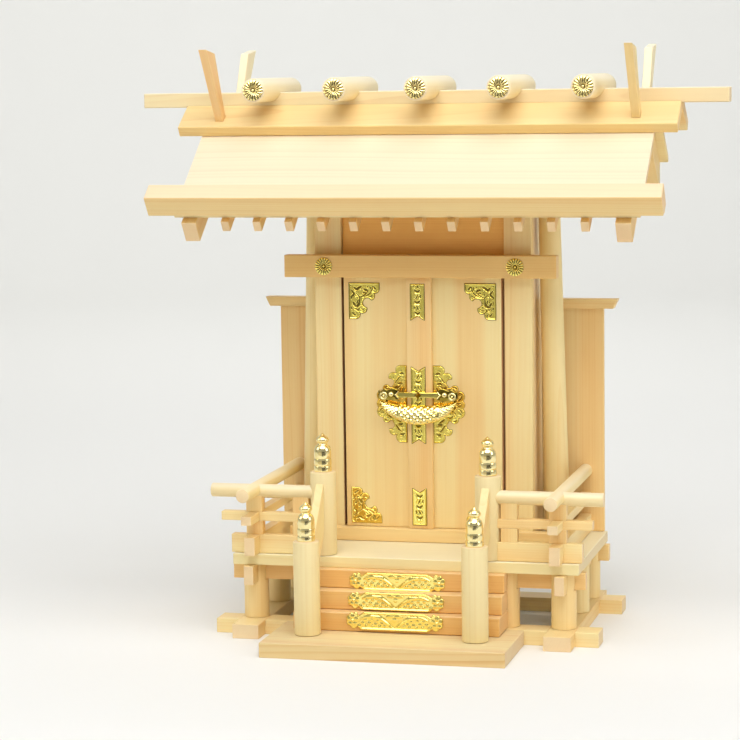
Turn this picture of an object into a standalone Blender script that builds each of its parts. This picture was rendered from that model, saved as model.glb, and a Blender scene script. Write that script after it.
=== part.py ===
"""A household Shinto shrine (kamidana) in the plain Shinmei style: one chamber with two hinged doors under
a board roof, on a railed floor with three steps.

X runs along the ridge, Y to the back and Z up. Every length below is in metres. Depths are given from the
ridge line, and the empty "shrine" moves the whole object so that its origin is under the middle of its box.
"""

from math import cos, pi, radians, sin, tan

import bmesh
import bpy
from mathutils import Matrix, Vector

MM = 0.001
GAP = 0.3 * MM          # left between two pieces that touch
EASED = 0.4 * MM        # the maker's planed-off corners
ROUND_SIDES = 24

# Overall
RIDGE_LENGTH = 470 * MM
SHRINE_FRONT = -190.3 * MM
ROOF_REAR = 56.5 * MM

# Ground frame, posts and floor frame
SILL_WIDTH = 21.0 * MM
SILL_HEIGHT = 11.2 * MM
SILL_OVERHANG = 18.2 * MM
SIDE_SILL_X = 121.0 * MM
FRONT_SILL_Y = -103.1 * MM
REAR_SILL_Y = 16.4 * MM
POST_RADIUS = 9.6 * MM
FRONT_POST_Y = -99.0 * MM
MIDDLE_POST_Y = -38.4 * MM
INNER_POST_X = 77.4 * MM
BEAM_WIDTH = 7.6 * MM
CROSS_BEAM_HALF = 138.2 * MM
CROSS_BEAM_DEPTH = 12.8 * MM
SIDE_BEAM_DEPTH = 14.6 * MM
SIDE_BEAM_FRONT = -120.5 * MM
SIDE_BEAM_REAR = 34.0 * MM

# Floor board, base board and steps
FLOOR_HALF = 135.0 * MM
FLOOR_FRONT = -114.4 * MM
FLOOR_REAR = 28.0 * MM
FLOOR_TOP = 63.0 * MM
FLOOR_THICKNESS = 8.4 * MM
BASE_HALF = 93.0 * MM
BASE_REAR = FRONT_SILL_Y - SILL_WIDTH / 2 - GAP
BASE_HEIGHT = 11.4 * MM
STEP_HALF = 79.6 * MM
STEP_REAR = -109.2 * MM
STEP_FRONTS = (-141.8 * MM, -132.1 * MM, -121.6 * MM)

# Newels, stair rails and the turned finials on the newels
NEWEL_X = 64.4 * MM
NEWEL_RADIUS = 9.9 * MM
LOWER_NEWEL_Y = -156.5 * MM
LOWER_NEWEL_TOP = 82.8 * MM
UPPER_NEWEL_Y = -104.9 * MM
UPPER_NEWEL_TOP = 127.5 * MM
FINIAL_HEIGHT = 29.3 * MM
FINIAL_RADIUS = 6.9 * MM
STAIR_RAIL_THICKNESS = 6.2 * MM
STAIR_RAIL_HEIGHT = 37.0 * MM
STAIR_RAIL_TOP = 119.5 * MM
STAIR_RAIL_FOOT = 80.5 * MM

# Railing: round top rail, square middle and lower rails, short struts
RAIL_X = 118.4 * MM
RAIL_Y = -106.6 * MM
TOP_RAIL_Z = 111.6 * MM
TOP_RAIL_RADIUS = 5.3 * MM
RAIL_SIDES = 16
MIDDLE_RAIL = (88.3 * MM, 95.2 * MM, 8.1 * MM)      # underside, top, width
LOWER_RAIL = (FLOOR_TOP + GAP, 77.6 * MM, 8.5 * MM)
RAIL_OVERHANGS = (34.7 * MM, 26.5 * MM, 18.6 * MM)  # top, middle, lower
CORNER_STRUT = (13.0 * MM, 7.8 * MM)
INNER_STRUT = (75.0 * MM, 87.6 * MM)

# Chamber
PILASTER = (65.0 * MM, 86.5 * MM)
CHAMBER_FRONT = -38.3 * MM
PILASTER_DEPTH = 9.7 * MM
WALL_OUTER_X = 83.3 * MM
WALL_THICKNESS = 5.0 * MM
REAR_WALL_FRONT = 22.3 * MM
TRANSOM_RECESS = 4.8 * MM
THRESHOLD_HALF = 108.0 * MM
THRESHOLD_TOP = 73.5 * MM
THRESHOLD_FRONT = -47.7 * MM
LINTEL_FRONT = -50.3 * MM
LINTEL = (271.9 * MM, 289.3 * MM)                   # underside, top
PILLAR_FOOT = (99.9 * MM, 9.8 * MM)                 # distance from the middle, radius
PILLAR_HEAD = (92.5 * MM, 8.2 * MM)

# Doors
DOOR_EDGE = 62.8 * MM
DOOR_FRONT = -40.0 * MM
DOOR_THICKNESS = 6.0 * MM
DOOR_PIVOT_INSET = 2.2 * MM
DOOR_MEETING_X = -1.4 * MM
STRIP_WIDTH = 19.6 * MM
STRIP_THICKNESS = 4.8 * MM
LOCK_Z = 179.3 * MM
LOCK_HALF = 30.5 * MM
LOCK_BOTTOM = 157.9 * MM
LOCK_THICKNESS = 6.0 * MM
LOCK_WALL = 3.5 * MM                                # of the crescent, at its two ends
LOCK_INNER_DROP = 9.0 * MM
LOCK_BAR_RADIUS = 2.0 * MM

# Side wings
WING_EDGE = 133.0 * MM
WING_FRONT = 23.5 * MM
WING_TOP = 242.4 * MM
WING_CAP_HEIGHT = 7.6 * MM
WING_CAP_DEPTH = 11.0 * MM
WING_CAP_TIPS = (141.1 * MM, 144.7 * MM)            # lower and upper corner of the slanted end

# Roof. Depths below the plane of the eave board's upper face are measured square to the slope.
ROOF_SLOPE = radians(36.9)
EAVE_HALF = 198.2 * MM
EAVE_Y = -122.6 * MM
EAVE_Z = 337.6 * MM
EAVE_WIDTH = 16.6 * MM
EAVE_THICKNESS = 17.9 * MM
EAVE_REBATE = 5.0 * MM
PANEL_HALF = 180.2 * MM
PANEL_TOP = 20.5 * MM
PANEL_UNDERSIDE = 24.9 * MM
PANEL_START = 6.5 * MM
BARGE_OUTER_X = 173.5 * MM
BARGE_WIDTH = 11.7 * MM
BARGE_UNDERSIDE = 43.6 * MM
BARGE_START = 0.5 * MM
RAFTER_COUNT = 12
RAFTER_PITCH = 25.27 * MM
RAFTER_WIDTH = 6.2 * MM
RAFTER_UNDERSIDE = 34.4 * MM
RAFTER_START = 1.8 * MM
RAFTER_REAR = -44.0 * MM

# Ridge
CAP_HALF = 198.6 * MM
CAP_SLOPE = radians(32)
CAP_EDGE = (-34.7 * MM, 389.3 * MM)
CAP_THICKNESS = 8.8 * MM
RIDGE_THICKNESS = 17.9 * MM
RIDGE_TOP = 416.0 * MM
RIDGE_BOTTOM = 404.4 * MM
BILLET_COUNT = 5
BILLET_PITCH = 64.9 * MM
BILLET_HALF = 54.1 * MM
BILLET_RADIUS = 9.4 * MM
BILLET_Z = 417.9 * MM
HORN_X = 166.0 * MM
HORN_THICKNESS = 6.4 * MM
HORN_FOOT = (-27.8 * MM, -21.0 * MM)                # outer and inner edge, on the cap
HORN_TIP_OUTER = (-68.3 * MM, 450.0 * MM)
HORN_TIP_INNER = (-45.5 * MM, 447.0 * MM)

PALE_WOOD = (0.86, 0.68, 0.41)
RED_WOOD = (0.80, 0.56, 0.31)
GOLD = (0.83, 0.62, 0.20)

FLOOR_UNDERSIDE = FLOOR_TOP - FLOOR_THICKNESS
BEAM_TOP = FLOOR_UNDERSIDE - GAP
SIDES = {"left": -1, "right": 1}
HAIR = 0.03 * MM        # keeps two faces of a union out of one plane


def clear_scene():
    for obj in list(bpy.data.objects):
        bpy.data.objects.remove(obj, do_unlink=True)


def new_collection(name):
    collection = bpy.data.collections.new(name)
    bpy.context.scene.collection.children.link(collection)
    return collection


def plain_material(name, colour, roughness, metallic=0.0):
    made = bpy.data.materials.new(name)
    made.use_nodes = True
    shader = made.node_tree.nodes["Principled BSDF"]
    shader.inputs["Base Color"].default_value = (*colour, 1.0)
    shader.inputs["Roughness"].default_value = roughness
    shader.inputs["Metallic"].default_value = metallic
    made.diffuse_color = (*colour, 1.0)
    return made


clear_scene()
PARTS = new_collection("household_shinto_shrine")
CUTTERS = new_collection("cutters")
ORIGIN = bpy.data.objects.new("shrine", None)
PARTS.objects.link(ORIGIN)
ORIGIN.location.y = -(SHRINE_FRONT + abs(HORN_TIP_OUTER[0])) / 2


def keep(obj, name, colour=PALE_WOOD, roughness=0.5, metallic=0.0, parent=ORIGIN):
    """Makes an object one of the shrine's parts, under its own name and with its own material."""
    obj.name = name
    obj.data.name = name
    obj.data.materials.clear()
    obj.data.materials.append(plain_material(name, colour, roughness, metallic))
    for holder in list(obj.users_collection):
        holder.objects.unlink(obj)
    PARTS.objects.link(obj)
    obj.parent = parent
    if parent is not ORIGIN:
        obj.location -= parent.location
    return obj


def helper(obj, name):
    """Makes an object a cutter, or a shape that is joined to a part."""
    obj.name = name
    for holder in list(obj.users_collection):
        holder.objects.unlink(obj)
    CUTTERS.objects.link(obj)
    obj.hide_render = True
    obj.display_type = "WIRE"
    obj.parent = ORIGIN
    return obj


def ease(obj, width=EASED):
    bevel = obj.modifiers.new("eased corners", "BEVEL")
    bevel.width = width
    bevel.segments = 1
    bevel.limit_method = "ANGLE"
    return obj


def block(x, y, z, width=EASED):
    """A squared timber between two values on each axis."""
    ends = [sorted(pair) for pair in (x, y, z)]
    middle = [(low + high) / 2 for low, high in ends]
    bpy.ops.mesh.primitive_cube_add(size=1, location=middle)
    obj = bpy.context.object
    obj.scale = [high - low for low, high in ends]
    bpy.ops.object.transform_apply(location=False, rotation=False, scale=True)
    return ease(obj, width) if width else obj


PLANES = {
    "YZ": Matrix(((0, 0, 1), (1, 0, 0), (0, 1, 0))).to_4x4(),
    "XZ": Matrix(((1, 0, 0), (0, 0, -1), (0, 1, 0))).to_4x4(),
    "XY": Matrix.Identity(4),
}


def sawn(outline, plane, low, high, width=EASED):
    """A flat outline in one plane, sawn from a board that runs from low to high across that plane."""
    curve = bpy.data.curves.new("outline", "CURVE")
    curve.dimensions = "2D"
    curve.fill_mode = "BOTH"
    curve.extrude = abs(high - low) / 2
    spline = curve.splines.new("POLY")
    spline.points.add(len(outline) - 1)
    for point, (u, v) in zip(spline.points, outline):
        point.co = (u, v, 0, 1)
    spline.use_cyclic_u = True
    flat = bpy.data.objects.new("outline", curve)
    CUTTERS.objects.link(flat)
    middle = (low + high) / 2
    across = {"YZ": (middle, 0, 0), "XZ": (0, middle, 0), "XY": (0, 0, middle)}[plane]
    bpy.context.view_layer.update()
    mesh = bpy.data.meshes.new_from_object(flat.evaluated_get(bpy.context.evaluated_depsgraph_get()))
    bpy.data.objects.remove(flat)
    bpy.data.curves.remove(curve)
    shape = bmesh.new()
    shape.from_mesh(mesh)
    bmesh.ops.remove_doubles(shape, verts=shape.verts, dist=0.00001)
    bmesh.ops.dissolve_limit(shape, angle_limit=0.001, verts=shape.verts, edges=shape.edges)
    bmesh.ops.recalc_face_normals(shape, faces=shape.faces)
    shape.transform(Matrix.Translation(across) @ PLANES[plane])
    shape.to_mesh(mesh)
    shape.free()
    obj = bpy.data.objects.new("sawn", mesh)
    PARTS.objects.link(obj)
    return ease(obj, width) if width else obj


def rounded(start, end, radius, end_radius=None, sides=ROUND_SIDES, width=EASED):
    """A round rod or a tapered pillar from one point to another."""
    start, end = Vector(start), Vector(end)
    run = end - start
    last = radius if end_radius is None else end_radius
    bpy.ops.mesh.primitive_cone_add(vertices=sides, radius1=radius, radius2=last, depth=run.length)
    obj = bpy.context.object
    obj.location = (start + end) / 2
    obj.rotation_mode = "QUATERNION"
    obj.rotation_quaternion = run.to_track_quat("Z", "Y")
    if width:
        ease(obj, width)
        obj.modifiers["eased corners"].angle_limit = radians(60)
    obj.data.shade_smooth()
    obj.data.set_sharp_from_angle(angle=radians(40))
    return obj


def turned(profile, centre, steps=16):
    """A lathe-turned shape: the profile lists radius and height, from the top down."""
    mesh = bpy.data.meshes.new("profile")
    points = [(radius, 0, height) for radius, height in profile]
    mesh.from_pydata(points, [(i, i + 1) for i in range(len(points) - 1)], [])
    obj = bpy.data.objects.new("turned", mesh)
    PARTS.objects.link(obj)
    obj.location = centre
    screw = obj.modifiers.new("lathe", "SCREW")
    screw.steps = screw.render_steps = steps
    screw.use_merge_vertices = True
    screw.merge_threshold = 0.00001
    screw.use_smooth_shade = True
    return obj


def boolean(obj, others, operation):
    for other in others:
        modifier = obj.modifiers.new(other.name, "BOOLEAN")
        modifier.object = other
        modifier.operation = operation
        modifier.solver = "EXACT"
    return obj


def cut(obj, *others):
    return boolean(obj, others, "DIFFERENCE")


def join(obj, *others):
    return boolean(obj, others, "UNION")


def ground_frame():
    """Two sills each way, lapped where they cross."""
    half_width = SILL_WIDTH / 2
    long_half = SIDE_SILL_X + half_width + SILL_OVERHANG
    front = FRONT_SILL_Y - half_width - SILL_OVERHANG
    rear = REAR_SILL_Y + half_width + SILL_OVERHANG
    height = (0, SILL_HEIGHT)
    span = (-long_half, long_half)
    frame = block(span, (FRONT_SILL_Y - half_width, FRONT_SILL_Y + half_width), height, None)
    rear_sill = block(span, (REAR_SILL_Y - half_width, REAR_SILL_Y + half_width), height, None)
    # The side sills are a hair lower, so that no two faces of the union lie in one plane.
    side_height = (HAIR, SILL_HEIGHT - HAIR)
    others = [helper(rear_sill, "rear_sill")]
    for side in SIDES.values():
        middle = side * SIDE_SILL_X
        side_sill = block((middle - half_width, middle + half_width), (front, rear), side_height, None)
        others.append(helper(side_sill, "side_sill"))
    join(frame, *others)
    return keep(frame, "ground_frame")


def cross_beams(grow=0.0, name="cross_beam"):
    """The two beams along X, at the front and rear posts, grown by a clearance when they are cutters."""
    half_width = BEAM_WIDTH / 2 + grow
    half_length = CROSS_BEAM_HALF + grow
    height = (BEAM_TOP - CROSS_BEAM_DEPTH - grow, BEAM_TOP + grow)
    beams = []
    for y in (FRONT_POST_Y, REAR_SILL_Y):
        beam = block((-half_length, half_length), (y - half_width, y + half_width), height, None)
        beams.append(helper(beam, name))
    return beams


def side_beams(grow=0.0, name="side_beam"):
    half_width = BEAM_WIDTH / 2 + grow
    depth = (SIDE_BEAM_FRONT - grow, SIDE_BEAM_REAR + grow)
    height = (BEAM_TOP - SIDE_BEAM_DEPTH - grow, BEAM_TOP - HAIR + grow)
    beams = []
    for side in SIDES.values():
        middle = side * SIDE_SILL_X
        beam = block((middle - half_width, middle + half_width), depth, height, None)
        beams.append(helper(beam, name))
    return beams


def floor_frame():
    front, rear = cross_beams()
    frame = join(front, rear, *side_beams())
    frame.hide_render = False
    frame.display_type = "TEXTURED"
    return keep(frame, "floor_frame")


def posts():
    """Round posts between the ground frame and the floor, slotted round the beams that they carry."""
    cutters = cross_beams(GAP, "cross_beam_slot") + side_beams(GAP, "side_beam_slot")
    places = {
        "post_front": (SIDE_SILL_X, FRONT_POST_Y),
        "post_inner": (INNER_POST_X, FRONT_POST_Y),
        "post_middle": (SIDE_SILL_X, MIDDLE_POST_Y),
        "post_rear": (SIDE_SILL_X, REAR_SILL_Y),
    }
    for name, (x, y) in places.items():
        for word, side in SIDES.items():
            foot = (side * x, y, SILL_HEIGHT + GAP)
            head = (side * x, y, BEAM_TOP)
            post = rounded(foot, head, POST_RADIUS, width=None)
            keep(cut(post, *cutters), f"{name}_{word}")


def floor_and_steps():
    floor = block((-FLOOR_HALF, FLOOR_HALF), (FLOOR_FRONT, FLOOR_REAR), (FLOOR_UNDERSIDE, FLOOR_TOP))
    keep(floor, "floor_board")
    base = block((-BASE_HALF, BASE_HALF), (SHRINE_FRONT, BASE_REAR), (0, BASE_HEIGHT))
    keep(base, "base_board")
    rise = (FLOOR_UNDERSIDE - BASE_HEIGHT) / len(STEP_FRONTS)
    for number, front in enumerate(STEP_FRONTS):
        bottom = BASE_HEIGHT + rise * number
        step = block((-STEP_HALF, STEP_HALF), (front, STEP_REAR), (bottom + GAP, bottom + rise), 0.6 * MM)
        keep(step, f"step_{number + 1}", RED_WOOD)


def finial_profile():
    """The finial, as shares of its radius and height: a jewel on a neck, above a dome and two barrels."""
    jewel = [(0, 1), (0.10, 0.985), (0.24, 0.94), (0.55, 0.885), (0.72, 0.82), (0.74, 0.775), (0.62, 0.71)]
    neck = [(0.40, 0.665), (0.36, 0.635)]
    dome = [(0.52, 0.615), (0.78, 0.56), (0.88, 0.49), (0.94, 0.41)]
    barrels = [(0.90, 0.362), (0.99, 0.29), (0.99, 0.20), (0.91, 0.13), (1, 0.07), (1, 0), (0, 0)]
    return [(FINIAL_RADIUS * r, FINIAL_HEIGHT * h) for r, h in jewel + neck + dome + barrels]


def newels():
    levels = {
        "lower": (LOWER_NEWEL_Y, BASE_HEIGHT, LOWER_NEWEL_TOP),
        "upper": (UPPER_NEWEL_Y, FLOOR_TOP, UPPER_NEWEL_TOP),
    }
    for level, (y, foot, head) in levels.items():
        for word, side in SIDES.items():
            x = side * NEWEL_X
            newel = rounded((x, y, foot + GAP), (x, y, head), NEWEL_RADIUS, width=0.8 * MM)
            keep(newel, f"newel_{level}_{word}")
            finial = turned(finial_profile(), (x, y, head + GAP))
            keep(finial, f"finial_{level}_{word}", GOLD, 0.2, 1.0)


def stair_rails():
    rear = UPPER_NEWEL_Y - NEWEL_RADIUS - GAP
    front = LOWER_NEWEL_Y + NEWEL_RADIUS + GAP
    outline = [(rear, STAIR_RAIL_TOP - STAIR_RAIL_HEIGHT), (rear, STAIR_RAIL_TOP)]
    outline += [(front, STAIR_RAIL_FOOT), (front, STAIR_RAIL_FOOT - STAIR_RAIL_HEIGHT)]
    half = STAIR_RAIL_THICKNESS / 2
    for word, side in SIDES.items():
        rail = sawn(outline, "YZ", side * NEWEL_X - half, side * NEWEL_X + half)
        keep(rail, f"stair_rail_{word}")


def railing(word, side):
    """One side's railing: three rails along the front and three along the side, crossing at the corner."""
    rear = WING_FRONT - GAP
    corner_x = side * RAIL_X
    start = (side * NEWEL_X, RAIL_Y, TOP_RAIL_Z)
    end = (side * (RAIL_X + RAIL_OVERHANGS[0]), RAIL_Y, TOP_RAIL_Z)
    top = rounded(start, end, TOP_RAIL_RADIUS, sides=RAIL_SIDES)
    start = (corner_x, RAIL_Y - RAIL_OVERHANGS[0], TOP_RAIL_Z)
    side_top = rounded(start, (corner_x, rear, TOP_RAIL_Z), TOP_RAIL_RADIUS - HAIR / 3, sides=RAIL_SIDES)
    pieces = [side_top]
    for (bottom, head, width), overhang in zip((MIDDLE_RAIL, LOWER_RAIL), RAIL_OVERHANGS[1:]):
        half = width / 2
        run = (side * NEWEL_X, side * (RAIL_X + overhang))
        pieces.append(block(run, (RAIL_Y - half, RAIL_Y + half), (bottom, head)))
        inner_half = half - HAIR
        run = (corner_x - inner_half, corner_x + inner_half)
        pieces.append(block(run, (RAIL_Y - overhang, rear), (bottom + HAIR, head - HAIR)))
    wide, deep = CORNER_STRUT
    strut_depth = (RAIL_Y - deep / 2, RAIL_Y + deep / 2)
    strut_height = (LOWER_RAIL[1] - MM, TOP_RAIL_Z)
    pieces.append(block((corner_x - wide / 2, corner_x + wide / 2), strut_depth, strut_height, None))
    pieces.append(block([side * x for x in INNER_STRUT], strut_depth, strut_height, None))
    join(top, *[helper(piece, f"rail_piece_{word}") for piece in pieces])
    foot = (side * NEWEL_X, UPPER_NEWEL_Y, FLOOR_TOP - MM)
    head = (side * NEWEL_X, UPPER_NEWEL_Y, UPPER_NEWEL_TOP)
    socket = rounded(foot, head, NEWEL_RADIUS + GAP, width=None)
    cut(top, helper(socket, f"newel_socket_{word}"))
    return keep(top, f"railing_{word}")


def below_roof(y, depth=PANEL_UNDERSIDE):
    """The roof's height at a distance from the ridge, at a depth square below the eave board's upper face."""
    return EAVE_Z + (abs(EAVE_Y) - abs(y)) * tan(ROOF_SLOPE) - depth / cos(ROOF_SLOPE)


def on_slope(along, depth):
    """A point (y, z) of the front slope: along it from the eave, and square below its upper face."""
    y = EAVE_Y + along * cos(ROOF_SLOPE) + depth * sin(ROOF_SLOPE)
    z = EAVE_Z + along * sin(ROOF_SLOPE) - depth * cos(ROOF_SLOPE)
    return y, z


def cap_apex():
    return CAP_EDGE[1] - CAP_EDGE[0] * tan(CAP_SLOPE)


def below_cap(y):
    """The height of the ridge cap's underside at a distance from the ridge."""
    return cap_apex() - CAP_THICKNESS / cos(CAP_SLOPE) - abs(y) * tan(CAP_SLOPE)


def top_of(y):
    """How high a wall may stand under the roof panel."""
    return below_roof(y) - GAP


def chamber():
    back = CHAMBER_FRONT + PILASTER_DEPTH
    foot = FLOOR_TOP + GAP
    wall_back = REAR_WALL_FRONT - GAP
    for word, side in SIDES.items():
        outline = [(CHAMBER_FRONT, foot), (back, foot), (back, top_of(back))]
        outline += [(CHAMBER_FRONT, top_of(CHAMBER_FRONT))]
        pilaster = sawn(outline, "YZ", side * PILASTER[0], side * PILASTER[1])
        keep(pilaster, f"pilaster_{word}")
        wall_front = back + GAP
        outline = [(wall_front, foot), (wall_back, foot), (wall_back, top_of(wall_back)), (0, top_of(0))]
        outline += [(wall_front, top_of(wall_front))]
        wall = sawn(outline, "YZ", side * (WALL_OUTER_X - WALL_THICKNESS), side * WALL_OUTER_X)
        keep(wall, f"side_wall_{word}")
    rear_face = FLOOR_REAR - GAP
    width = (-WALL_OUTER_X, WALL_OUTER_X)
    keep(block(width, (REAR_WALL_FRONT, rear_face), (foot, top_of(rear_face))), "rear_wall")
    inner = PILASTER[0] - GAP
    transom_front = CHAMBER_FRONT + TRANSOM_RECESS
    transom_foot = LINTEL[0] + GAP
    outline = [(transom_front, transom_foot), (back, transom_foot), (back, top_of(back))]
    outline += [(transom_front, top_of(transom_front))]
    keep(sawn(outline, "YZ", -inner, inner), "transom_panel")
    shoulder = CHAMBER_FRONT - GAP
    half = THRESHOLD_HALF
    keep(block((-half, half), (LINTEL_FRONT, shoulder), LINTEL), "lintel")
    outline = [(-half, THRESHOLD_FRONT), (half, THRESHOLD_FRONT), (half, shoulder), (inner, shoulder)]
    outline += [(inner, back), (-inner, back), (-inner, shoulder), (-half, shoulder)]
    keep(sawn(outline, "XY", foot, THRESHOLD_TOP), "threshold")


def ridge_pillars():
    """The free-standing pillars at the gable ends, tapered and leaning in a little."""
    head_z = below_roof(PILLAR_HEAD[1]) - GAP
    for word, side in SIDES.items():
        foot = (side * PILLAR_FOOT[0], 0, FLOOR_TOP + 2 * GAP)
        head = (side * PILLAR_HEAD[0], 0, head_z)
        keep(rounded(foot, head, PILLAR_FOOT[1], PILLAR_HEAD[1]), f"ridge_pillar_{word}")


def doors():
    """Two leaves on pivots at their outer edges. The right leaf carries the joint's strip and the lock."""
    rear = DOOR_FRONT + DOOR_THICKNESS
    bottom = THRESHOLD_TOP + GAP
    top = LINTEL[0] - GAP
    pivots = {}
    for word, side in SIDES.items():
        pivot = bpy.data.objects.new(f"pivot_{word}", None)
        PARTS.objects.link(pivot)
        pivot.parent = ORIGIN
        pivot.location = (side * (DOOR_EDGE - DOOR_PIVOT_INSET), DOOR_FRONT + DOOR_THICKNESS / 2, bottom)
        pivots[word] = pivot
        meeting = DOOR_MEETING_X + side * GAP
        leaf = block((side * DOOR_EDGE, meeting), (DOOR_FRONT, rear), (bottom, top))
        keep(leaf, f"door_{word}", parent=pivot)
    width = (DOOR_MEETING_X - STRIP_WIDTH / 2, DOOR_MEETING_X + STRIP_WIDTH / 2)
    strip_rear = DOOR_FRONT - GAP
    strip_front = strip_rear - STRIP_THICKNESS
    strip = block(width, (strip_front, strip_rear), (bottom, top), 0.9 * MM)
    keep(strip, "meeting_strip", RED_WOOD, parent=pivots["right"])
    lock(strip_front - GAP, pivots["right"])


def lock(rear, pivot):
    """A crescent padlock that hangs from a straight bar. Its two ends curl up round the bar."""
    steps = 13
    top = LOCK_Z + LOCK_BAR_RADIUS
    outer_drop = (top - LOCK_BOTTOM) * 0.98
    inner_half = LOCK_HALF - LOCK_WALL
    turns = [pi * (step / (steps - 1) - 0.5) for step in range(steps)]
    body = [(DOOR_MEETING_X + LOCK_HALF * sin(turn), top - outer_drop * cos(turn)) for turn in turns]
    for turn in reversed(turns):
        inner_turn = turn * 0.93
        drop = LOCK_INNER_DROP * cos(inner_turn)
        body.append((DOOR_MEETING_X + inner_half * sin(inner_turn), top - drop))
    crescent = sawn(body, "XZ", rear - LOCK_THICKNESS, rear, None)
    bar_half = LOCK_HALF - LOCK_WALL + MM
    middle = (rear - LOCK_THICKNESS / 2, LOCK_Z + HAIR)
    ends = [(DOOR_MEETING_X + side * bar_half, *middle) for side in (-1, 1)]
    bar = rounded(*ends, LOCK_BAR_RADIUS, sides=12, width=None)
    join(crescent, helper(bar, "lock_bar"))
    keep(crescent, "lock", GOLD, 0.2, 1.0, pivot)


def wings():
    for word, side in SIDES.items():
        rear = FLOOR_REAR - GAP
        inner = WALL_OUTER_X + GAP
        panel = block((side * inner, side * WING_EDGE), (WING_FRONT, rear), (FLOOR_TOP + GAP, WING_TOP + MM))
        low, high = WING_CAP_TIPS
        outline = [(side * inner, WING_TOP), (side * low, WING_TOP)]
        outline += [(side * high, WING_TOP + WING_CAP_HEIGHT), (side * inner, WING_TOP + WING_CAP_HEIGHT)]
        middle = (WING_FRONT + rear) / 2
        cap = sawn(outline, "XZ", middle - WING_CAP_DEPTH / 2, middle + WING_CAP_DEPTH / 2)
        join(cap, helper(panel, f"wing_panel_{word}"))
        keep(cap, f"wing_{word}")


def rafters():
    """Short rafters under the front slope. They run a little into the panel, so that the union is whole."""
    inside = 0.4 * MM
    tail_depth = PANEL_UNDERSIDE + 0.2 * MM
    behind_eave = PANEL_START + MM
    outline = [on_slope(RAFTER_START, tail_depth), on_slope(behind_eave, tail_depth)]
    outline.append(on_slope(behind_eave, PANEL_UNDERSIDE - inside))
    outline.append((RAFTER_REAR, below_roof(RAFTER_REAR) + inside))
    outline.append((RAFTER_REAR, below_roof(RAFTER_REAR, RAFTER_UNDERSIDE)))
    outline.append(on_slope(RAFTER_START, RAFTER_UNDERSIDE))
    made = []
    for number in range(RAFTER_COUNT):
        x = (number - (RAFTER_COUNT - 1) / 2) * RAFTER_PITCH
        rafter = sawn(outline, "YZ", x - RAFTER_WIDTH / 2, x + RAFTER_WIDTH / 2, None)
        made.append(helper(rafter, f"rafter_{number + 1}"))
    return made


def roof():
    """A long front slope and a short rear slope, cut off upright where the shrine stands against a wall."""
    start, start_under = on_slope(PANEL_START, PANEL_TOP), on_slope(PANEL_START, PANEL_UNDERSIDE)
    mitre = GAP / 2
    # Under the flatter cap the panels are planed down to the cap's slope.
    planed = (below_roof(0, PANEL_TOP) - below_cap(0) + GAP) / (tan(ROOF_SLOPE) - tan(CAP_SLOPE))
    planed_z = below_roof(planed, PANEL_TOP)
    ridge_z, ridge_underside = below_cap(0) - GAP, below_roof(0)
    outline = [start, (-planed, planed_z), (-mitre, ridge_z), (-mitre, ridge_underside), start_under]
    panel = sawn(outline, "YZ", -PANEL_HALF, PANEL_HALF)
    keep(join(panel, *rafters()), "roof_panel_front")

    outline = [(mitre, ridge_z), (planed, planed_z), (ROOF_REAR, below_roof(ROOF_REAR, PANEL_TOP))]
    outline += [(ROOF_REAR, below_roof(ROOF_REAR)), (mitre, ridge_underside)]
    keep(sawn(outline, "YZ", -PANEL_HALF, PANEL_HALF), "roof_panel_rear")

    rebate = PANEL_TOP - GAP
    outline = [on_slope(0, 0), on_slope(EAVE_WIDTH, 0), on_slope(EAVE_WIDTH, rebate)]
    outline += [on_slope(EAVE_REBATE, rebate), on_slope(EAVE_REBATE, EAVE_THICKNESS)]
    outline.append(on_slope(0, EAVE_THICKNESS))
    keep(sawn(outline, "YZ", -EAVE_HALF, EAVE_HALF, 0.6 * MM), "eave_board")

    top = PANEL_UNDERSIDE + GAP
    rear = ROOF_REAR - GAP
    outline = [on_slope(BARGE_START, top), (0, below_roof(0, top)), (rear, below_roof(rear, top))]
    outline += [(rear, below_roof(rear, BARGE_UNDERSIDE)), (0, below_roof(0, BARGE_UNDERSIDE))]
    outline += [on_slope(BARGE_START, BARGE_UNDERSIDE)]
    for word, side in SIDES.items():
        inner = side * (BARGE_OUTER_X - BARGE_WIDTH)
        keep(sawn(outline, "YZ", inner, side * BARGE_OUTER_X), f"barge_board_{word}", RED_WOOD)


def horn_outline(grow=0.0):
    """One horn's outline on the front side, from a little inside the cap to its slanted tip."""
    foot_outer, foot_inner = HORN_FOOT
    foot_z = {y: CAP_EDGE[1] + (y - CAP_EDGE[0]) * tan(CAP_SLOPE) for y in HORN_FOOT}
    sunk = 3.0 * MM + grow
    outer = Vector(HORN_TIP_OUTER) - Vector((foot_outer, foot_z[foot_outer]))
    inner = Vector(HORN_TIP_INNER) - Vector((foot_inner, foot_z[foot_inner]))
    low_outer = Vector((foot_outer, foot_z[foot_outer])) - outer.normalized() * sunk
    low_inner = Vector((foot_inner, foot_z[foot_inner])) - inner.normalized() * sunk
    side = Vector((grow, 0))
    return [tuple(low_outer - side), tuple(low_inner + side), tuple(Vector(HORN_TIP_INNER) + side),
            tuple(Vector(HORN_TIP_OUTER) - side)]


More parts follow.
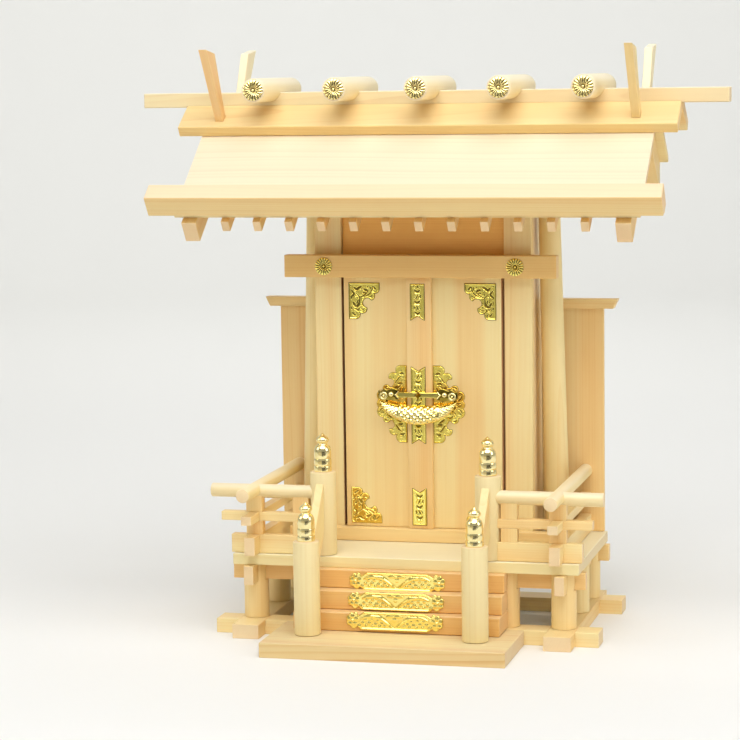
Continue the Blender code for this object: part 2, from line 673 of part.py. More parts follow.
def ridge_cap():
    """Two boards over the ridge. Each has a slot at both ends for a horn."""
    edge_y, edge_z = CAP_EDGE
    low_edge = (edge_y + CAP_THICKNESS * sin(CAP_SLOPE), edge_z - CAP_THICKNESS * cos(CAP_SLOPE))
    mitre = GAP / 2
    front = [(edge_y, edge_z), (-mitre, cap_apex()), (-mitre, below_cap(0)), low_edge]
    for word, facing in (("front", 1), ("rear", -1)):
        outline = [(facing * y, z) for y, z in front]
        board = sawn(outline, "YZ", -CAP_HALF, CAP_HALF, 0.6 * MM)
        half = HORN_THICKNESS / 2
        for end, side in SIDES.items():
            horn = [(facing * y, z) for y, z in horn_outline()]
            middle = side * HORN_X
            keep(sawn(horn, "YZ", middle - half, middle + half), f"horn_{word}_{end}")
            slot = [(facing * y, z) for y, z in horn_outline(GAP)]
            slot_cutter = sawn(slot, "YZ", middle - half - GAP, middle + half + GAP, None)
            cut(board, helper(slot_cutter, f"horn_slot_{word}_{end}"))
        keep(board, f"ridge_cap_{word}")


def ridge():
    """The ridge board sits astride the cap, and the billets sit astride the ridge board."""
    half = RIDGE_THICKNESS / 2
    board = block((-RIDGE_LENGTH / 2, RIDGE_LENGTH / 2), (-half, half), (RIDGE_BOTTOM, RIDGE_TOP), 0.6 * MM)
    reach = half + 2 * MM
    apex = cap_apex()
    shoulder = apex + GAP - reach * tan(CAP_SLOPE)
    low = RIDGE_BOTTOM - 4 * MM
    roof_cut = [(0, apex + GAP), (-reach, shoulder), (-reach, low), (reach, low), (reach, shoulder)]
    cap_cutter = sawn(roof_cut, "YZ", -CAP_HALF - GAP, CAP_HALF + GAP, None)
    keep(cut(board, helper(cap_cutter, "cap_notch")), "ridge_board", RED_WOOD)
    depth = (-half - GAP, half + GAP)
    saddle = block((-RIDGE_LENGTH, RIDGE_LENGTH), depth, (RIDGE_BOTTOM, RIDGE_TOP + GAP), None)
    helper(saddle, "billet_notch")
    for number in range(BILLET_COUNT):
        x = (number - (BILLET_COUNT - 1) / 2) * BILLET_PITCH
        ends = [(x, y, BILLET_Z) for y in (-BILLET_HALF, BILLET_HALF)]
        billet = rounded(*ends, BILLET_RADIUS, width=0.7 * MM)
        keep(cut(billet, saddle), f"billet_{number + 1}")


ground_frame()
floor_frame()
posts()
floor_and_steps()
newels()
stair_rails()
for side_word, side_sign in SIDES.items():
    railing(side_word, side_sign)
chamber()
ridge_pillars()
doors()
wings()
roof()
ridge_cap()
ridge()
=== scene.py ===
"""The looks of a plain cypress household shrine: planed hinoki boards and round posts, gilt pressed fittings.

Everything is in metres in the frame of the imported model: X along the ridge, Y to the back and Z up.
Lengths on the shrine are written in millimetres and turned to metres by MM or mm, but the gilt plates and the lock
are made in millimetres and scaled at the end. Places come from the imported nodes' boxes. The studio is in metres.
"""

from math import atan2, cos, pi, radians, sin, tau
from random import Random

import bmesh
import bpy
import numpy as np
from mathutils import Matrix, Vector


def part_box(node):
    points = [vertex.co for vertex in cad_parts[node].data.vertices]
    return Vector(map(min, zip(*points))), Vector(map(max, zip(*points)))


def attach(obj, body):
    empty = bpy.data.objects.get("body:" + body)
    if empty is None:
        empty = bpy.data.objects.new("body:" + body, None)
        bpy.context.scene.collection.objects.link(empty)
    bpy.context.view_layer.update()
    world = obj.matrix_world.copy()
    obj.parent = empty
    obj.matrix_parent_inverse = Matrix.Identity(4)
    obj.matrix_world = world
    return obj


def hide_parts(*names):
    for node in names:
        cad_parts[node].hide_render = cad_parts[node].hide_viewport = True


MM = 0.001
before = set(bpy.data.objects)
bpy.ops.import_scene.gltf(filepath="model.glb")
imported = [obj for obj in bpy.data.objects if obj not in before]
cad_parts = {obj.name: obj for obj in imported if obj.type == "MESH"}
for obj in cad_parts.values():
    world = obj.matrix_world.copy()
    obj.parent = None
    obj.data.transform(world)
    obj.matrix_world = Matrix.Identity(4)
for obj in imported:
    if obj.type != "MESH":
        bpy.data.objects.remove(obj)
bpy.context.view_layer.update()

X, Y, Z = Vector((1, 0, 0)), Vector((0, 1, 0)), Vector((0, 0, 1))
SIDES = {"left": -1, "right": 1}


def mm(*lengths):
    """Lengths in millimetres, as metres."""
    return [length * MM for length in lengths]


# ------------ shader maths

class Wire:
    """One output of a material's node tree. Arithmetic on a wire adds Math nodes."""

    def __init__(self, finish, socket):
        self.finish = finish
        self.socket = socket

    def math(self, operation, *others, clamp=False):
        settings = {"operation": operation, "use_clamp": clamp}
        return self.finish.add("Math", settings, [self, *others])

    def __add__(self, other):
        return self.math("ADD", other)

    def __sub__(self, other):
        return self.math("SUBTRACT", other)

    def __rsub__(self, other):
        return self.finish.add("Math", {"operation": "SUBTRACT"}, [other, self])

    def __mul__(self, other):
        return self.math("MULTIPLY", other)

    def __truediv__(self, other):
        return self.math("DIVIDE", other)

    __radd__ = __add__

    def clamped(self):
        return self.math("ADD", 0.0, clamp=True)

    def step(self, low, high):
        """0 below low and 1 above high, eased between them."""
        settings = {"interpolation_type": "SMOOTHSTEP"}
        return self.finish.add("MapRange", settings, {"Value": self, "From Min": low, "From Max": high})


class Finish:
    """A material under construction."""

    def __init__(self, name):
        self.material = bpy.data.materials.new(name)
        self.material.use_nodes = True
        self.tree = self.material.node_tree
        self.shader = self.tree.nodes["Principled BSDF"]

    def add(self, kind, settings=None, inputs=(), output=0):
        """Adds a node, its kind given without the word ShaderNode. Its settings are set first, then the values or
        wires of its sockets."""
        node = self.tree.nodes.new("ShaderNode" + kind)
        for key, value in (settings or {}).items():
            setattr(node, key, value)
        for key, value in inputs.items() if isinstance(inputs, dict) else enumerate(inputs):
            self.plug(value, node.inputs[key])
        return Wire(self, node.outputs[output])

    def plug(self, value, socket):
        if isinstance(value, Wire):
            self.tree.links.new(value.socket, socket)
        else:
            socket.default_value = value

    def ramp(self, factor, stops):
        """A grey ramp: stops are (place, value)."""
        made = self.add("ValToRGB", {}, {"Fac": factor})
        elements = made.socket.node.color_ramp.elements
        while len(elements) < len(stops):
            elements.new(0.5)
        for element, (place, value) in zip(elements, stops):
            element.position = place
            element.color = (value, value, value, 1)
        return made

    def mix(self, factor, first, second, blend="MIX"):
        """A mix of two colours. In a Mix node they are inputs 6 and 7, and the colour comes out of output 2."""
        settings = {"data_type": "RGBA", "blend_type": blend}
        return self.add("Mix", settings, {0: factor, 6: first, 7: second}, output=2)

    def noise(self, vector, scale=1.0, detail=2.0, roughness=0.5, dimensions="3D"):
        inputs = {"Scale": scale, "Detail": detail, "Roughness": roughness}
        inputs["W" if dimensions == "1D" else "Vector"] = vector
        return self.add("TexNoise", {"noise_dimensions": dimensions}, inputs)

    def split(self, vector):
        """The three parts of a vector."""
        made = self.add("SeparateXYZ", {}, [vector])
        return [Wire(self, socket) for socket in made.socket.node.outputs]

    def vector(self, operation, *values, output=0):
        return self.add("VectorMath", {"operation": operation}, values, output)

    def surface(self, **inputs):
        """Feeds the shader: a socket's words are joined by _ here."""
        for key, value in inputs.items():
            self.plug(value, self.shader.inputs[key.replace("_", " ")])
        return self.material


def srgb(red, green, blue):
    """A colour given as a screen shows it, from 0 to 255, as the shader's linear colour."""
    def linear(level):
        level /= 255
        return level / 12.92 if level <= 0.04045 else ((level + 0.055) / 1.055) ** 2.4

    return (linear(red), linear(green), linear(blue), 1.0)


# ------------ finishes

SAPWOOD = (srgb(250, 231, 172), srgb(238, 203, 132))
HEARTWOOD = (srgb(247, 208, 140), srgb(228, 168, 94))
SAWN_ENDS = srgb(238, 210, 174)
# The pale colour of painted light: highlights on faces that look up, and washes of bright light over whole pieces.
PAINTED_HIGHLIGHT = srgb(253, 246, 226)
RISER = (0.92, 0.82, 0.66)


def turned_to(grain, face):
    """The rotation whose X is the grain and whose Z is as near as can be to the face's normal."""
    along, out = Vector(grain).normalized(), Vector(face)
    out = (out - along * out.dot(along)).normalized()
    return Matrix((along, out.cross(along), out)).transposed()


def cypress(name, grain, face, middle, pith=(9.0, -60.0), ring=2.3, redness=0.25, sheen=0.0, tone=(1, 1, 1),
            bleach=0.0, lean=0.006, figure=1.0):
    """Planed cypress. The growth rings are the tree's own: shells round a pith line, which lies beside the piece at
    pith, in millimetres across the face and square to it. Far across it gives straight lines, and far under it arcs.
    ring is their pitch, lean tilts the pith line and figure strengthens them. The top highlight, given after redness,
    is painted light: it pales the faces that look up, as strong light from above does. The washout, given after tone,
    pales the whole piece: a painted wash of bright light. tone is a last tint over all of it."""
    draw = Random(name)
    wood = Finish(f"cypress_{name}")
    place = wood.add("TexCoord", output=3)
    rotation = turned_to(grain, face).to_euler("XYZ")
    shift = Vector(middle) + Vector(grain) * draw.uniform(-0.05, 0.05)
    local = wood.add("Mapping", {"vector_type": "TEXTURE"},
                     {"Vector": place, "Location": shift, "Rotation": rotation, "Scale": (MM, MM, MM)})
    seed = draw.uniform(0, 500)

    # The rings, wandering a little along the tree. Late wood, the dark line of each year, is strong in some years.
    slow = wood.vector("MULTIPLY_ADD", local, (1 / 210, 1 / 90, 1 / 90), (seed, 0, seed))
    wander = wood.add("TexNoise", {}, {"Vector": slow, "Scale": 1.0, "Detail": 1.0}, output=1)
    wander = wood.vector("SUBTRACT", wander, (0.5, 0.5, 0.5))
    along, across, out = wood.split(wood.vector("MULTIPLY_ADD", wander, (0, 5.0, 5.0), local))
    u = across + along * lean * draw.choice((-1, 1)) - pith[0]
    v = out + along * lean * 0.6 - pith[1]
    radius = (u * u + v * v).math("SQRT")
    years = radius / ring + wood.noise(radius, 0.11, 1.0, dimensions="1D") * 2.4 + seed
    late = wood.ramp(years.math("FRACT"), [(0, 0.12), (0.12, 0), (0.5, 0.1), (0.86, 0.85), (0.95, 1.0), (1, 0.12)])
    strong = wood.noise(years.math("FLOOR"), 0.731, 0.0, dimensions="1D").step(0.3, 0.75)

    # Fibres, and the broad bands of sapwood and heartwood.
    fibre = wood.noise(wood.vector("MULTIPLY", local, (0.045, 2.1, 2.1)), 1.0, 3.0, 0.6)
    streak = wood.noise(wood.vector("MULTIPLY_ADD", local, (0.012, 0.42, 0.42), (0, seed, 0)), 1.0, 2.0)
    band = wood.noise(radius + seed * 7, 0.045, 1.0, dimensions="1D").step(0.32, 0.7)
    cloud = wood.noise(wood.vector("MULTIPLY_ADD", local, (0.008, 0.03, 0.03), (seed, seed, 0)), 1.0, 2.0)
    red = (band * 0.55 + cloud * 0.5 + (redness - 0.5) * 1.3).clamped()
    shade = (late * (0.06 + strong * 0.2) * figure + (fibre - 0.5) * 0.14 + (streak - 0.5) * 0.28 + 0.15).clamped()
    colour = wood.mix(red, wood.mix(shade, *SAPWOOD), wood.mix(shade, *HEARTWOOD))

    # Sawn ends are greyer and drier than planed faces. Faces that look up get a painted highlight, as pale as strong
    # light from above leaves them, and a painted wash of bright light can pale the whole piece.
    normal = wood.add("TexCoord", output=1)
    facing = wood.vector("DOT_PRODUCT", normal, tuple(Vector(grain).normalized()), output=1)
    ends = facing.math("ABSOLUTE").step(0.75, 0.95)
    colour = wood.mix(ends * 0.6, colour, SAWN_ENDS)
    above = wood.vector("DOT_PRODUCT", normal, (0, 0, 1), output=1).step(0.25, 0.75)
    colour = wood.mix((above * sheen + bleach).clamped(), colour, PAINTED_HIGHLIGHT)
    colour = wood.mix(1.0, colour, (*tone, 1), "MULTIPLY")
    relief = {"Strength": 0.18, "Distance": 0.06 * MM, "Height": fibre * 0.6 + late * 0.4}
    wood.shader.inputs["Specular IOR Level"].default_value = 0.34
    return wood.surface(Base_Color=colour, Roughness=0.42 + fibre * 0.14 + ends * 0.22,
                        Normal=wood.add("Bump", {}, relief))


def gilt(name, colour, roughness, hollow_shade=0.0, lock_reflection_at=None, metallic=1.0):
    """Gold-coloured plating on thin brass. The tone given after the roughness is painted shade: it darkens the sunk
    ground of chased plates. The height after it, in metres, places a painted reflection of the lock on the plating
    behind it: a deeper, redder gold, which fades above and below it. Where metallic is under 1, a lacquer over the
    plating scatters some light."""
    metal = Finish(name)
    place = metal.add("TexCoord", output=3)
    smears, grain = metal.noise(place, 90.0, 3.0), metal.noise(place, 900.0, 2.0)
    tint = metal.mix(smears.step(0.35, 0.7) * 0.3, colour, srgb(252, 226, 128))
    rough = roughness + (smears - 0.5) * 0.06
    # Painted reflection of the lock: a deeper, redder gold round the lock's height.
    if lock_reflection_at:
        away = (metal.split(place)[2] - lock_reflection_at) / 0.015
        tint = metal.mix((1 - away * away).clamped() * 0.6, tint, srgb(255, 196, 74))
    # Painted shade: where the relief is low, the plating darkens towards a dark olive-brown and dulls.
    if hollow_shade:
        raised = metal.add("Attribute", {"attribute_name": "raised"}, output=2)
        sunk = 1 - raised.step(0.2, 0.9)
        tint = metal.mix(sunk * hollow_shade, tint, srgb(88, 66, 20))
        rough = rough + sunk * 0.15
    bump = metal.add("Bump", {}, {"Strength": 0.08, "Distance": 0.04 * MM, "Height": grain})
    return metal.surface(Base_Color=tint, Roughness=rough, Metallic=metallic, Normal=bump)


# ------------ making pieces

def linked(name, data):
    """Puts a new object in the scene."""
    made = bpy.data.objects.new(name, data)
    bpy.context.scene.collection.objects.link(made)
    return made


def solid(name, shape):
    """Ends a bmesh as an object."""
    mesh = bpy.data.meshes.new(name)
    shape.to_mesh(mesh)
    shape.free()
    return linked(name, mesh)


def finished(shape, name, material, body="shrine", replaces=(), smooth=None):
    """Ends a bmesh as one piece that rides on a body. Edges sharper than smooth, in degrees, stay crisp."""
    bmesh.ops.recalc_face_normals(shape, faces=shape.faces)
    piece = solid(name, shape)
    if smooth is not None:
        piece.data.shade_smooth()
        piece.data.set_sharp_from_angle(angle=radians(smooth))
    piece.data.materials.append(material)
    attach(piece, body)
    if replaces:
        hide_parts(*replaces)


def middle_of(low, high):
    return (Vector(low) + Vector(high)) / 2


def bevelled(shape, edges, width):
    """Eases some edges, unless the width is 0."""
    if width:
        bmesh.ops.bevel(shape, geom=list(edges), offset=width, segments=2, profile=0.5, affect="EDGES",
                        material=-1, clamp_overlap=True)
    return shape


def timber(corner, other, width=0.5 * MM):
    """A squared timber between two opposite corners, its edges eased."""
    shape = bmesh.new()
    bmesh.ops.create_cube(shape, size=1)
    for vert in shape.verts:
        vert.co = [(min if side < 0 else max)(pair) for side, pair in zip(vert.co, zip(corner, other))]
    return bevelled(shape, shape.edges, width)


def rod(start, end, radius, end_radius=None, width=0, sides=64):
    """A round rod or a tapered pillar, its rims eased."""
    run = Vector(end) - Vector(start)
    shape = bmesh.new()
    bmesh.ops.create_cone(shape, cap_ends=True, segments=sides, radius1=radius,
                          radius2=radius if end_radius is None else end_radius, depth=run.length)
    bevelled(shape, [edge for edge in shape.edges if any(len(face.verts) > 4 for face in edge.link_faces)], width)
    shape.transform(Matrix.Translation(middle_of(start, end)) @ run.to_track_quat("Z", "Y").to_matrix().to_4x4())
    return shape


def sawn(outline, axis, low, high, width=0.5 * MM):
    """A board sawn to an outline in the two axes that aren't named, running from low to high along the named one."""
    shape = bmesh.new()
    order = {"X": lambda a, b, c: (c, a, b), "Y": lambda a, b, c: (a, c, b), "Z": lambda a, b, c: (a, b, c)}[axis]
    face = shape.faces.new([shape.verts.new(order(a, b, low)) for a, b in outline])
    grown = bmesh.ops.extrude_face_region(shape, geom=[face])
    moved = [item for item in grown["geom"] if isinstance(item, bmesh.types.BMVert)]
    bmesh.ops.translate(shape, verts=moved, vec=order(0, 0, high - low))
    bmesh.ops.recalc_face_normals(shape, faces=shape.faces)
    return bevelled(shape, shape.edges, width)


# ------------ joinery

def nodes_named(prefix):
    """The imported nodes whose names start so, each with its box and the middle of it."""
    for name in sorted(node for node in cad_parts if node.startswith(prefix)):
        low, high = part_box(name)
        yield name, low, high, middle_of(low, high)


def in_cypress(shape, name, grain, face, replaces=(), body="shrine", smooth=None, **cut):
    """Ends a bmesh as a piece of cypress. cut says how it lay in the tree, its colour, and how much painted light
    pales it.
    """
    corners = np.array([vert.co for vert in shape.verts])
    material = cypress(name, grain, face, Vector((corners.min(0) + corners.max(0)) / 2), **cut)
    finished(shape, name, material, body, replaces, smooth)


def turned(name, shape, grain=Z, face=Y, **cut):
    """Ends a round piece, which stands in for the node of that name."""
    in_cypress(shape, f"{name}_turned", grain, face, [name], smooth=35, **cut)


def carve(shape, *cutters):
    """Cuts closed shapes out of a shape and gives back what is left."""
    holders = []
    for part in (shape, *cutters):
        bmesh.ops.recalc_face_normals(part, faces=part.faces)
        holders.append(solid("held", part))
    for cutter in holders[1:]:
        modifier = holders[0].modifiers.new("cut", "BOOLEAN")
        modifier.object, modifier.operation, modifier.solver = cutter, "DIFFERENCE", "EXACT"
    left = bmesh.new()
    left.from_mesh(holders[0].evaluated_get(bpy.context.evaluated_depsgraph_get()).to_mesh())
    for holder in holders:
        bpy.data.meshes.remove(holder.data)
    return left


def half_lapped(start, end, bottom, top, level, crossings, width, from_above):
    """The side outline of a timber with a half-lap notch at each crossing."""
    slack = 0.08 * MM
    edge = top if from_above else bottom
    floor = level - slack if from_above else level + slack
    notches = []
    for crossing in sorted(crossings):
        near, far = crossing - width / 2 - slack, crossing + width / 2 + slack
        notches += [(near, edge), (near, floor), (far, floor), (far, edge)]
    if from_above:
        return [(start, bottom), (end, bottom), (end, top), *notches[::-1], (start, top)]
    return [(start, bottom), *notches, (end, bottom), (end, top), (start, top)]


SIDE_X, BEAM_WIDTH, CROSS_BOTTOM = mm(121.0, 7.6, 41.5)
LONG_Y = dict(zip(("front", "rear"), mm(-42.1, 77.4)))
BEAM_Y = dict(zip(("front", "rear"), mm(-38.0, 77.4)))


def lapped_frame(node, word, width, level, rows, long_rise, side_rise, long_cut, side_cut, eased_by):
    """Two long timbers, which lie at rows along Y, half-lapped at level over two side timbers. The rises are the
    heights of their undersides and tops."""
    low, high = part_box(node)
    side_xs = [side * SIDE_X for side in SIDES.values()]
    for place, y in rows.items():
        outline = half_lapped(low.x, high.x, *long_rise, level, side_xs, width, True)
        shape = sawn(outline, "Y", y - width / 2, y + width / 2, eased_by)
        in_cypress(shape, f"{word}_{place}", X, Y, [node], **long_cut)
    for place, x in zip(SIDES, side_xs):
        outline = half_lapped(low.y, high.y, *side_rise, level, rows.values(), width, False)
        shape = sawn(outline, "X", x - width / 2, x + width / 2, eased_by)
        in_cypress(shape, f"{word}_{place}", Y, X, [node], **side_cut)


def frames():
    """The ground sills, and the floor beams, of which the side ones hang lower than the cross ones."""
    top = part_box("ground_frame")[1].z
    lapped_frame("ground_frame", "sill", 21.0 * MM, 5.6 * MM, LONG_Y, (0, top), (0.02 * MM, top - 0.05 * MM),
                 dict(pith=(46, 26), ring=2.4, redness=0.25), dict(pith=(20, -40), ring=1.9, redness=0.45), 0.5 * MM)
    low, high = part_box("floor_frame")
    lapped_frame("floor_frame", "beam", BEAM_WIDTH, 47.9 * MM, BEAM_Y, (CROSS_BOTTOM, high.z), (low.z, high.z),
                 dict(pith=(52, 12), ring=1.8, redness=0.7), dict(pith=(48, 14), ring=1.8, redness=0.55), 0.4 * MM)


def posts():
    """Round posts, sawn out for the beams. The saw leaves small nicks at the lower corners of each slot."""
    nick, clear = mm(0.75, 0.12)
    side_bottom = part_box("floor_frame")[0].z
    for name, low, high, middle in nodes_named("post_"):
        radius = (high.x - low.x) / 2
        foot, head = Vector((middle.x, middle.y, low.z)), Vector((middle.x, middle.y, high.z))
        reach, half = radius + 1.0 * MM, BEAM_WIDTH / 2 + clear
        slots = []
        if min(abs(foot.y - y) for y in BEAM_Y.values()) < MM:
            slots.append((X, Y, CROSS_BOTTOM))
        if abs(abs(foot.x) - SIDE_X) < MM:
            slots.append((Y, X, side_bottom))
        cutters = []
        for along, across, bottom in slots:
            start = foot - along * reach - across * half
            end = foot + along * reach + across * half
            start.z, end.z = bottom - clear, high.z + MM
            cutters.append(timber(start, end, 0))
            for side in SIDES.values():
                spot = foot + across * side * half
                spot.z = bottom
                cutters.append(rod(spot - along * reach, spot + along * reach, nick, sides=12))
        turned(name, carve(rod(foot, head, radius), *cutters), pith=(34, -16), ring=1.9, redness=0.4)


def newels_and_pillars():
    """The newels of the stair, and the free pillars under the ridge, which taper and lean inwards."""
    for name, low, high, middle in nodes_named("newel_"):
        shape = rod((middle.x, middle.y, low.z), (middle.x, middle.y, high.z), (high.x - low.x) / 2, width=0.9 * MM)
        turned(name, shape, pith=(40, -30), ring=2.6, redness=-0.1, tone=(0.93, 0.93, 0.93), bleach=0.08)
    foot_x, foot_radius, head_x, head_radius = mm(99.9, 9.8, 92.5, 8.2)
    for word, side in SIDES.items():
        low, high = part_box(f"ridge_pillar_{word}")
        y = (low.y + high.y) / 2
        shape = rod((side * foot_x, y, low.z + 0.25 * MM), (side * head_x, y, high.z - 0.2 * MM), foot_radius,
                    head_radius, 0.6 * MM)
        in_cypress(shape, f"pillar_{word}", Z, Y, [f"ridge_pillar_{word}"], smooth=35, pith=(30, -34), ring=2.2,
                   redness=0.3)


def billets():
    """The round billets sit astride the ridge board."""
    board_low, board_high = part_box("ridge_board")
    saddle = (-1, board_low.y - 0.15 * MM, board_low.z - 0.02), (1, board_high.y + 0.15 * MM, board_high.z + 0.15 * MM)
    for name, low, high, middle in nodes_named("billet_"):
        radius = (high.x - low.x) / 2
        shape = rod((middle.x, low.y, high.z - radius), (middle.x, high.y, high.z - radius), radius, width=0.9 * MM)
        turned(name, carve(shape, timber(*saddle, 0)), Y, Z, pith=(26, -40), ring=2.6, redness=-0.1, sheen=0.3,
               bleach=0.35)


def railings():
    """Each side has a round top rail and two squared rails below it. The side rails run through the front ones."""
    corner_x, front_y, rear_y, inner_x = mm(118.4, -45.6, 84.2, 66.0)
    newel_x, newel_y, newel_radius = mm(64.4, -43.9, 9.96)
    top_radius, front_z, side_z, top_overhang = mm(5.3, 111.2, 112.5, 34.7)
    # Bottom, top, width and overhang of the squared rails.
    squared = {"middle": mm(88.3, 95.2, 8.1, 26.5), "lower": mm(63.3, 77.6, 8.5, 18.6)}
    strut_xs = {"corner": mm(111.9, 124.9), "newel": mm(75.0, 87.6)}
    seam, gap, strut_half = mm(0.1, 0.05, 3.9)
    strut_zs = {"low": (squared["lower"][1] + gap, squared["middle"][0] - gap),
                "high": (squared["middle"][1] + gap, front_z)}
    for word, side in SIDES.items():
        node = [f"railing_{word}"]
        x, round_inner, round_outer = side * corner_x, side * inner_x, side * (corner_x + top_overhang)

        # The cutters run on well past what they cut.
        def newel_cutter():
            return rod((side * newel_x, newel_y, 0.05), (side * newel_x, newel_y, 0.15), newel_radius)

        def top_cutter():
            return rod((x, front_y - 0.05, side_z), (x, rear_y, side_z), top_radius + seam)

        rail = rod((x, front_y - top_overhang, side_z), (x, rear_y, side_z), top_radius, width=0.8 * MM)
        in_cypress(rail, f"top_rail_side_{word}", Y, Z, node, smooth=35, pith=(18, -36), ring=2.4, redness=0.1,
                   sheen=0.4)
        rail = rod((round_inner, front_y, front_z), (round_outer, front_y, front_z), top_radius, width=0.8 * MM)
        in_cypress(carve(rail, newel_cutter(), top_cutter()), f"top_rail_front_{word}", X, Z, node, smooth=35,
                   pith=(22, -30), ring=2.4, redness=0.0, sheen=0.35, bleach=0.12, tone=(0.94, 0.92, 0.92))
        for level, (bottom, top, width, overhang) in squared.items():
            half = width / 2
            rail = timber((x - half, front_y - overhang, bottom), (x + half, rear_y, top - 0.03 * MM))
            in_cypress(rail, f"{level}_rail_side_{word}", Y, X, node, pith=(30, -16), ring=1.7, redness=0.5)
            rail = timber((round_inner, front_y - half, bottom), (side * (corner_x + overhang), front_y + half, top))
            crossing = timber((x - half - seam, front_y - 0.02, bottom - MM),
                              (x + half + seam, front_y + 0.02, top + MM), 0)
            in_cypress(carve(rail, newel_cutter(), crossing), f"{level}_rail_front_{word}", X, Y, node,
                       pith=(34, 14), ring=1.9, redness=0.3)
        for place, (near, far) in strut_xs.items():
            for level, (bottom, top) in strut_zs.items():
                strut = timber((side * near, front_y - strut_half, bottom), (side * far, front_y + strut_half, top),
                               0.35 * MM)
                if level == "high":
                    rail = rod((round_inner, front_y, front_z), (side * 0.15, front_y, front_z), top_radius + gap)
                    strut = carve(strut, top_cutter(), rail)
                in_cypress(strut, f"strut_{place}_{level}_{word}", Z, Y, node, pith=(26, 8), ring=1.8, redness=0.6)


def wings():
    """The panels beside the walls, each under a cap with a raked end."""
    inner, edge, tip, shoulder = mm(83.6, 133.0, 141.1, 144.7)
    front, rear, cap_z = mm(84.5, 88.7, 242.4)
    for word, side in SIDES.items():
        name = f"wing_{word}"
        low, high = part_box(name)
        panel = timber((side * inner, front, low.z), (side * edge, rear, cap_z - 0.05 * MM), 0.4 * MM)
        in_cypress(panel, f"{name}_panel", Z, Y, [name], pith=(-64, -30), ring=2.4, redness=0.6)
        outline = [(side * inner, cap_z), (side * tip, cap_z), (side * shoulder, high.z), (side * inner, high.z)]
        in_cypress(sawn(outline, "Y", low.y, high.y), f"{name}_cap", X, Z, [name], pith=(20, -24), ring=1.9,
                   redness=0.5)


# ------------ roof

ROOF_SLOPE = radians(36.9)
RIDGE_Y, EAVE_Y, EAVE_Z = mm(61.0, -61.6, 337.6)
PANEL_TOP, PANEL_UNDERSIDE = mm(20.5, 24.9)


def on_slope(along, depth):
    """A point (y, z) of the front slope: along it from the eave, and square below the eave board's upper face."""
    y = EAVE_Y + along * cos(ROOF_SLOPE) + depth * sin(ROOF_SLOPE)
    return y, EAVE_Z + along * sin(ROOF_SLOPE) - depth * cos(ROOF_SLOPE)


def below_roof(y, depth):
    """A point (y, z) at that depth below the roof's plane, which falls away both ways from the ridge."""
    run = RIDGE_Y - EAVE_Y - abs(y - RIDGE_Y)
    return y, EAVE_Z + run * sin(ROOF_SLOPE) / cos(ROOF_SLOPE) - depth / cos(ROOF_SLOPE)


def strip_of_roof(near, far, top, underside):
    """The outline of a board that follows the roof. near and far give its ends (y, z) at a depth below the plane."""
    return [near(top), far(top), far(underside), near(underside)]


def roof():
    """The front roof board, the rafters under it, and the barge boards, which are mitred at the ridge."""
    low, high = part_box("roof_panel_front")
    start = 6.5 * MM
    planed = RIDGE_Y - 29.6 * MM        # from here up the board is planed down to the ridge cap's flatter slope
    outline = [on_slope(start, PANEL_TOP), below_roof(planed, PANEL_TOP), (high.y, high.z),
               below_roof(high.y, PANEL_UNDERSIDE), on_slope(start, PANEL_UNDERSIDE)]
    in_cypress(sawn(outline, "X", low.x, high.x, 0.4 * MM), "roof_board_front", X, Z, ["roof_panel_front"],
               pith=(150, -60), ring=3.0, redness=0.05, sheen=0.5, tone=(0.95, 0.94, 1.0), figure=3.0)

    count = 12
    pitch, half, underside, rear = mm(25.27, 3.1, 34.4, 17.0)
    slope = Vector((0, cos(ROOF_SLOPE), sin(ROOF_SLOPE)))
    wood = cypress("rafters", slope, X, (0, -0.02, 0.32), pith=(60, 9), ring=1.7, redness=0.8)
    outline = strip_of_roof(lambda depth: on_slope(1.8 * MM, depth), lambda depth: below_roof(rear, depth),
                            PANEL_UNDERSIDE + 0.04 * MM, underside)
    for number in range(count):
        x = (number - (count - 1) / 2) * pitch
        rafter = sawn(outline, "X", x - half, x + half, 0.35 * MM)
        finished(rafter, f"rafter_{number + 1}", wood, replaces=["roof_panel_front"])

    thickness, mitre = mm(25.2, 43.6), 0.06 * MM
    for word in SIDES:
        node = f"barge_board_{word}"
        low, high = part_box(node)
        front = strip_of_roof(lambda depth: on_slope(0.5 * MM, depth),
                              lambda depth: below_roof(RIDGE_Y - mitre, depth), *thickness)
        rear = strip_of_roof(lambda depth: below_roof(RIDGE_Y + mitre, depth),
                             lambda depth: below_roof(high.y, depth), *thickness)
        for place, outline, fall, redness in (("front", front, 1, 0.7), ("rear", rear, -1, 0.6)):
            grain = Vector((0, cos(ROOF_SLOPE), fall * sin(ROOF_SLOPE)))
            in_cypress(sawn(outline, "X", low.x, high.x), f"barge_{place}_{word}", grain, X, [node], pith=(40, 22),
                       ring=2.0, redness=redness)


# ------------ turned and pressed fittings

def moved_to(shape, centre, axis):
    """Carries a shape from the origin to a centre, and turns its Z to an axis."""
    shape.transform(Matrix.Translation(centre) @ Z.rotation_difference(axis).to_matrix().to_4x4())
    return shape


def spun(profile, steps, centre=(0, 0, 0), axis=Z):
    """Turns a profile of (radius, height) all the way round an axis through the centre. Heights run along the axis."""
    shape = bmesh.new()
    points = [shape.verts.new((radius, 0, height)) for radius, height in profile]
    line = [shape.edges.new(pair) for pair in zip(points, points[1:])]
    bmesh.ops.spin(shape, geom=points + line, cent=(0, 0, 0), axis=Z, angle=tau, steps=steps, use_merge=True)
    bmesh.ops.remove_doubles(shape, verts=shape.verts, dist=0.002 * MM)
    bmesh.ops.recalc_face_normals(shape, faces=shape.faces)
    return moved_to(shape, centre, axis)


def gathered(*shapes):
    """Several shapes in one."""
    whole = bmesh.new()
    for shape in shapes:
        mesh = bpy.data.meshes.new("gathered")
        shape.to_mesh(mesh)
        shape.free()
        whole.from_mesh(mesh)
        bpy.data.meshes.remove(mesh)
    return whole


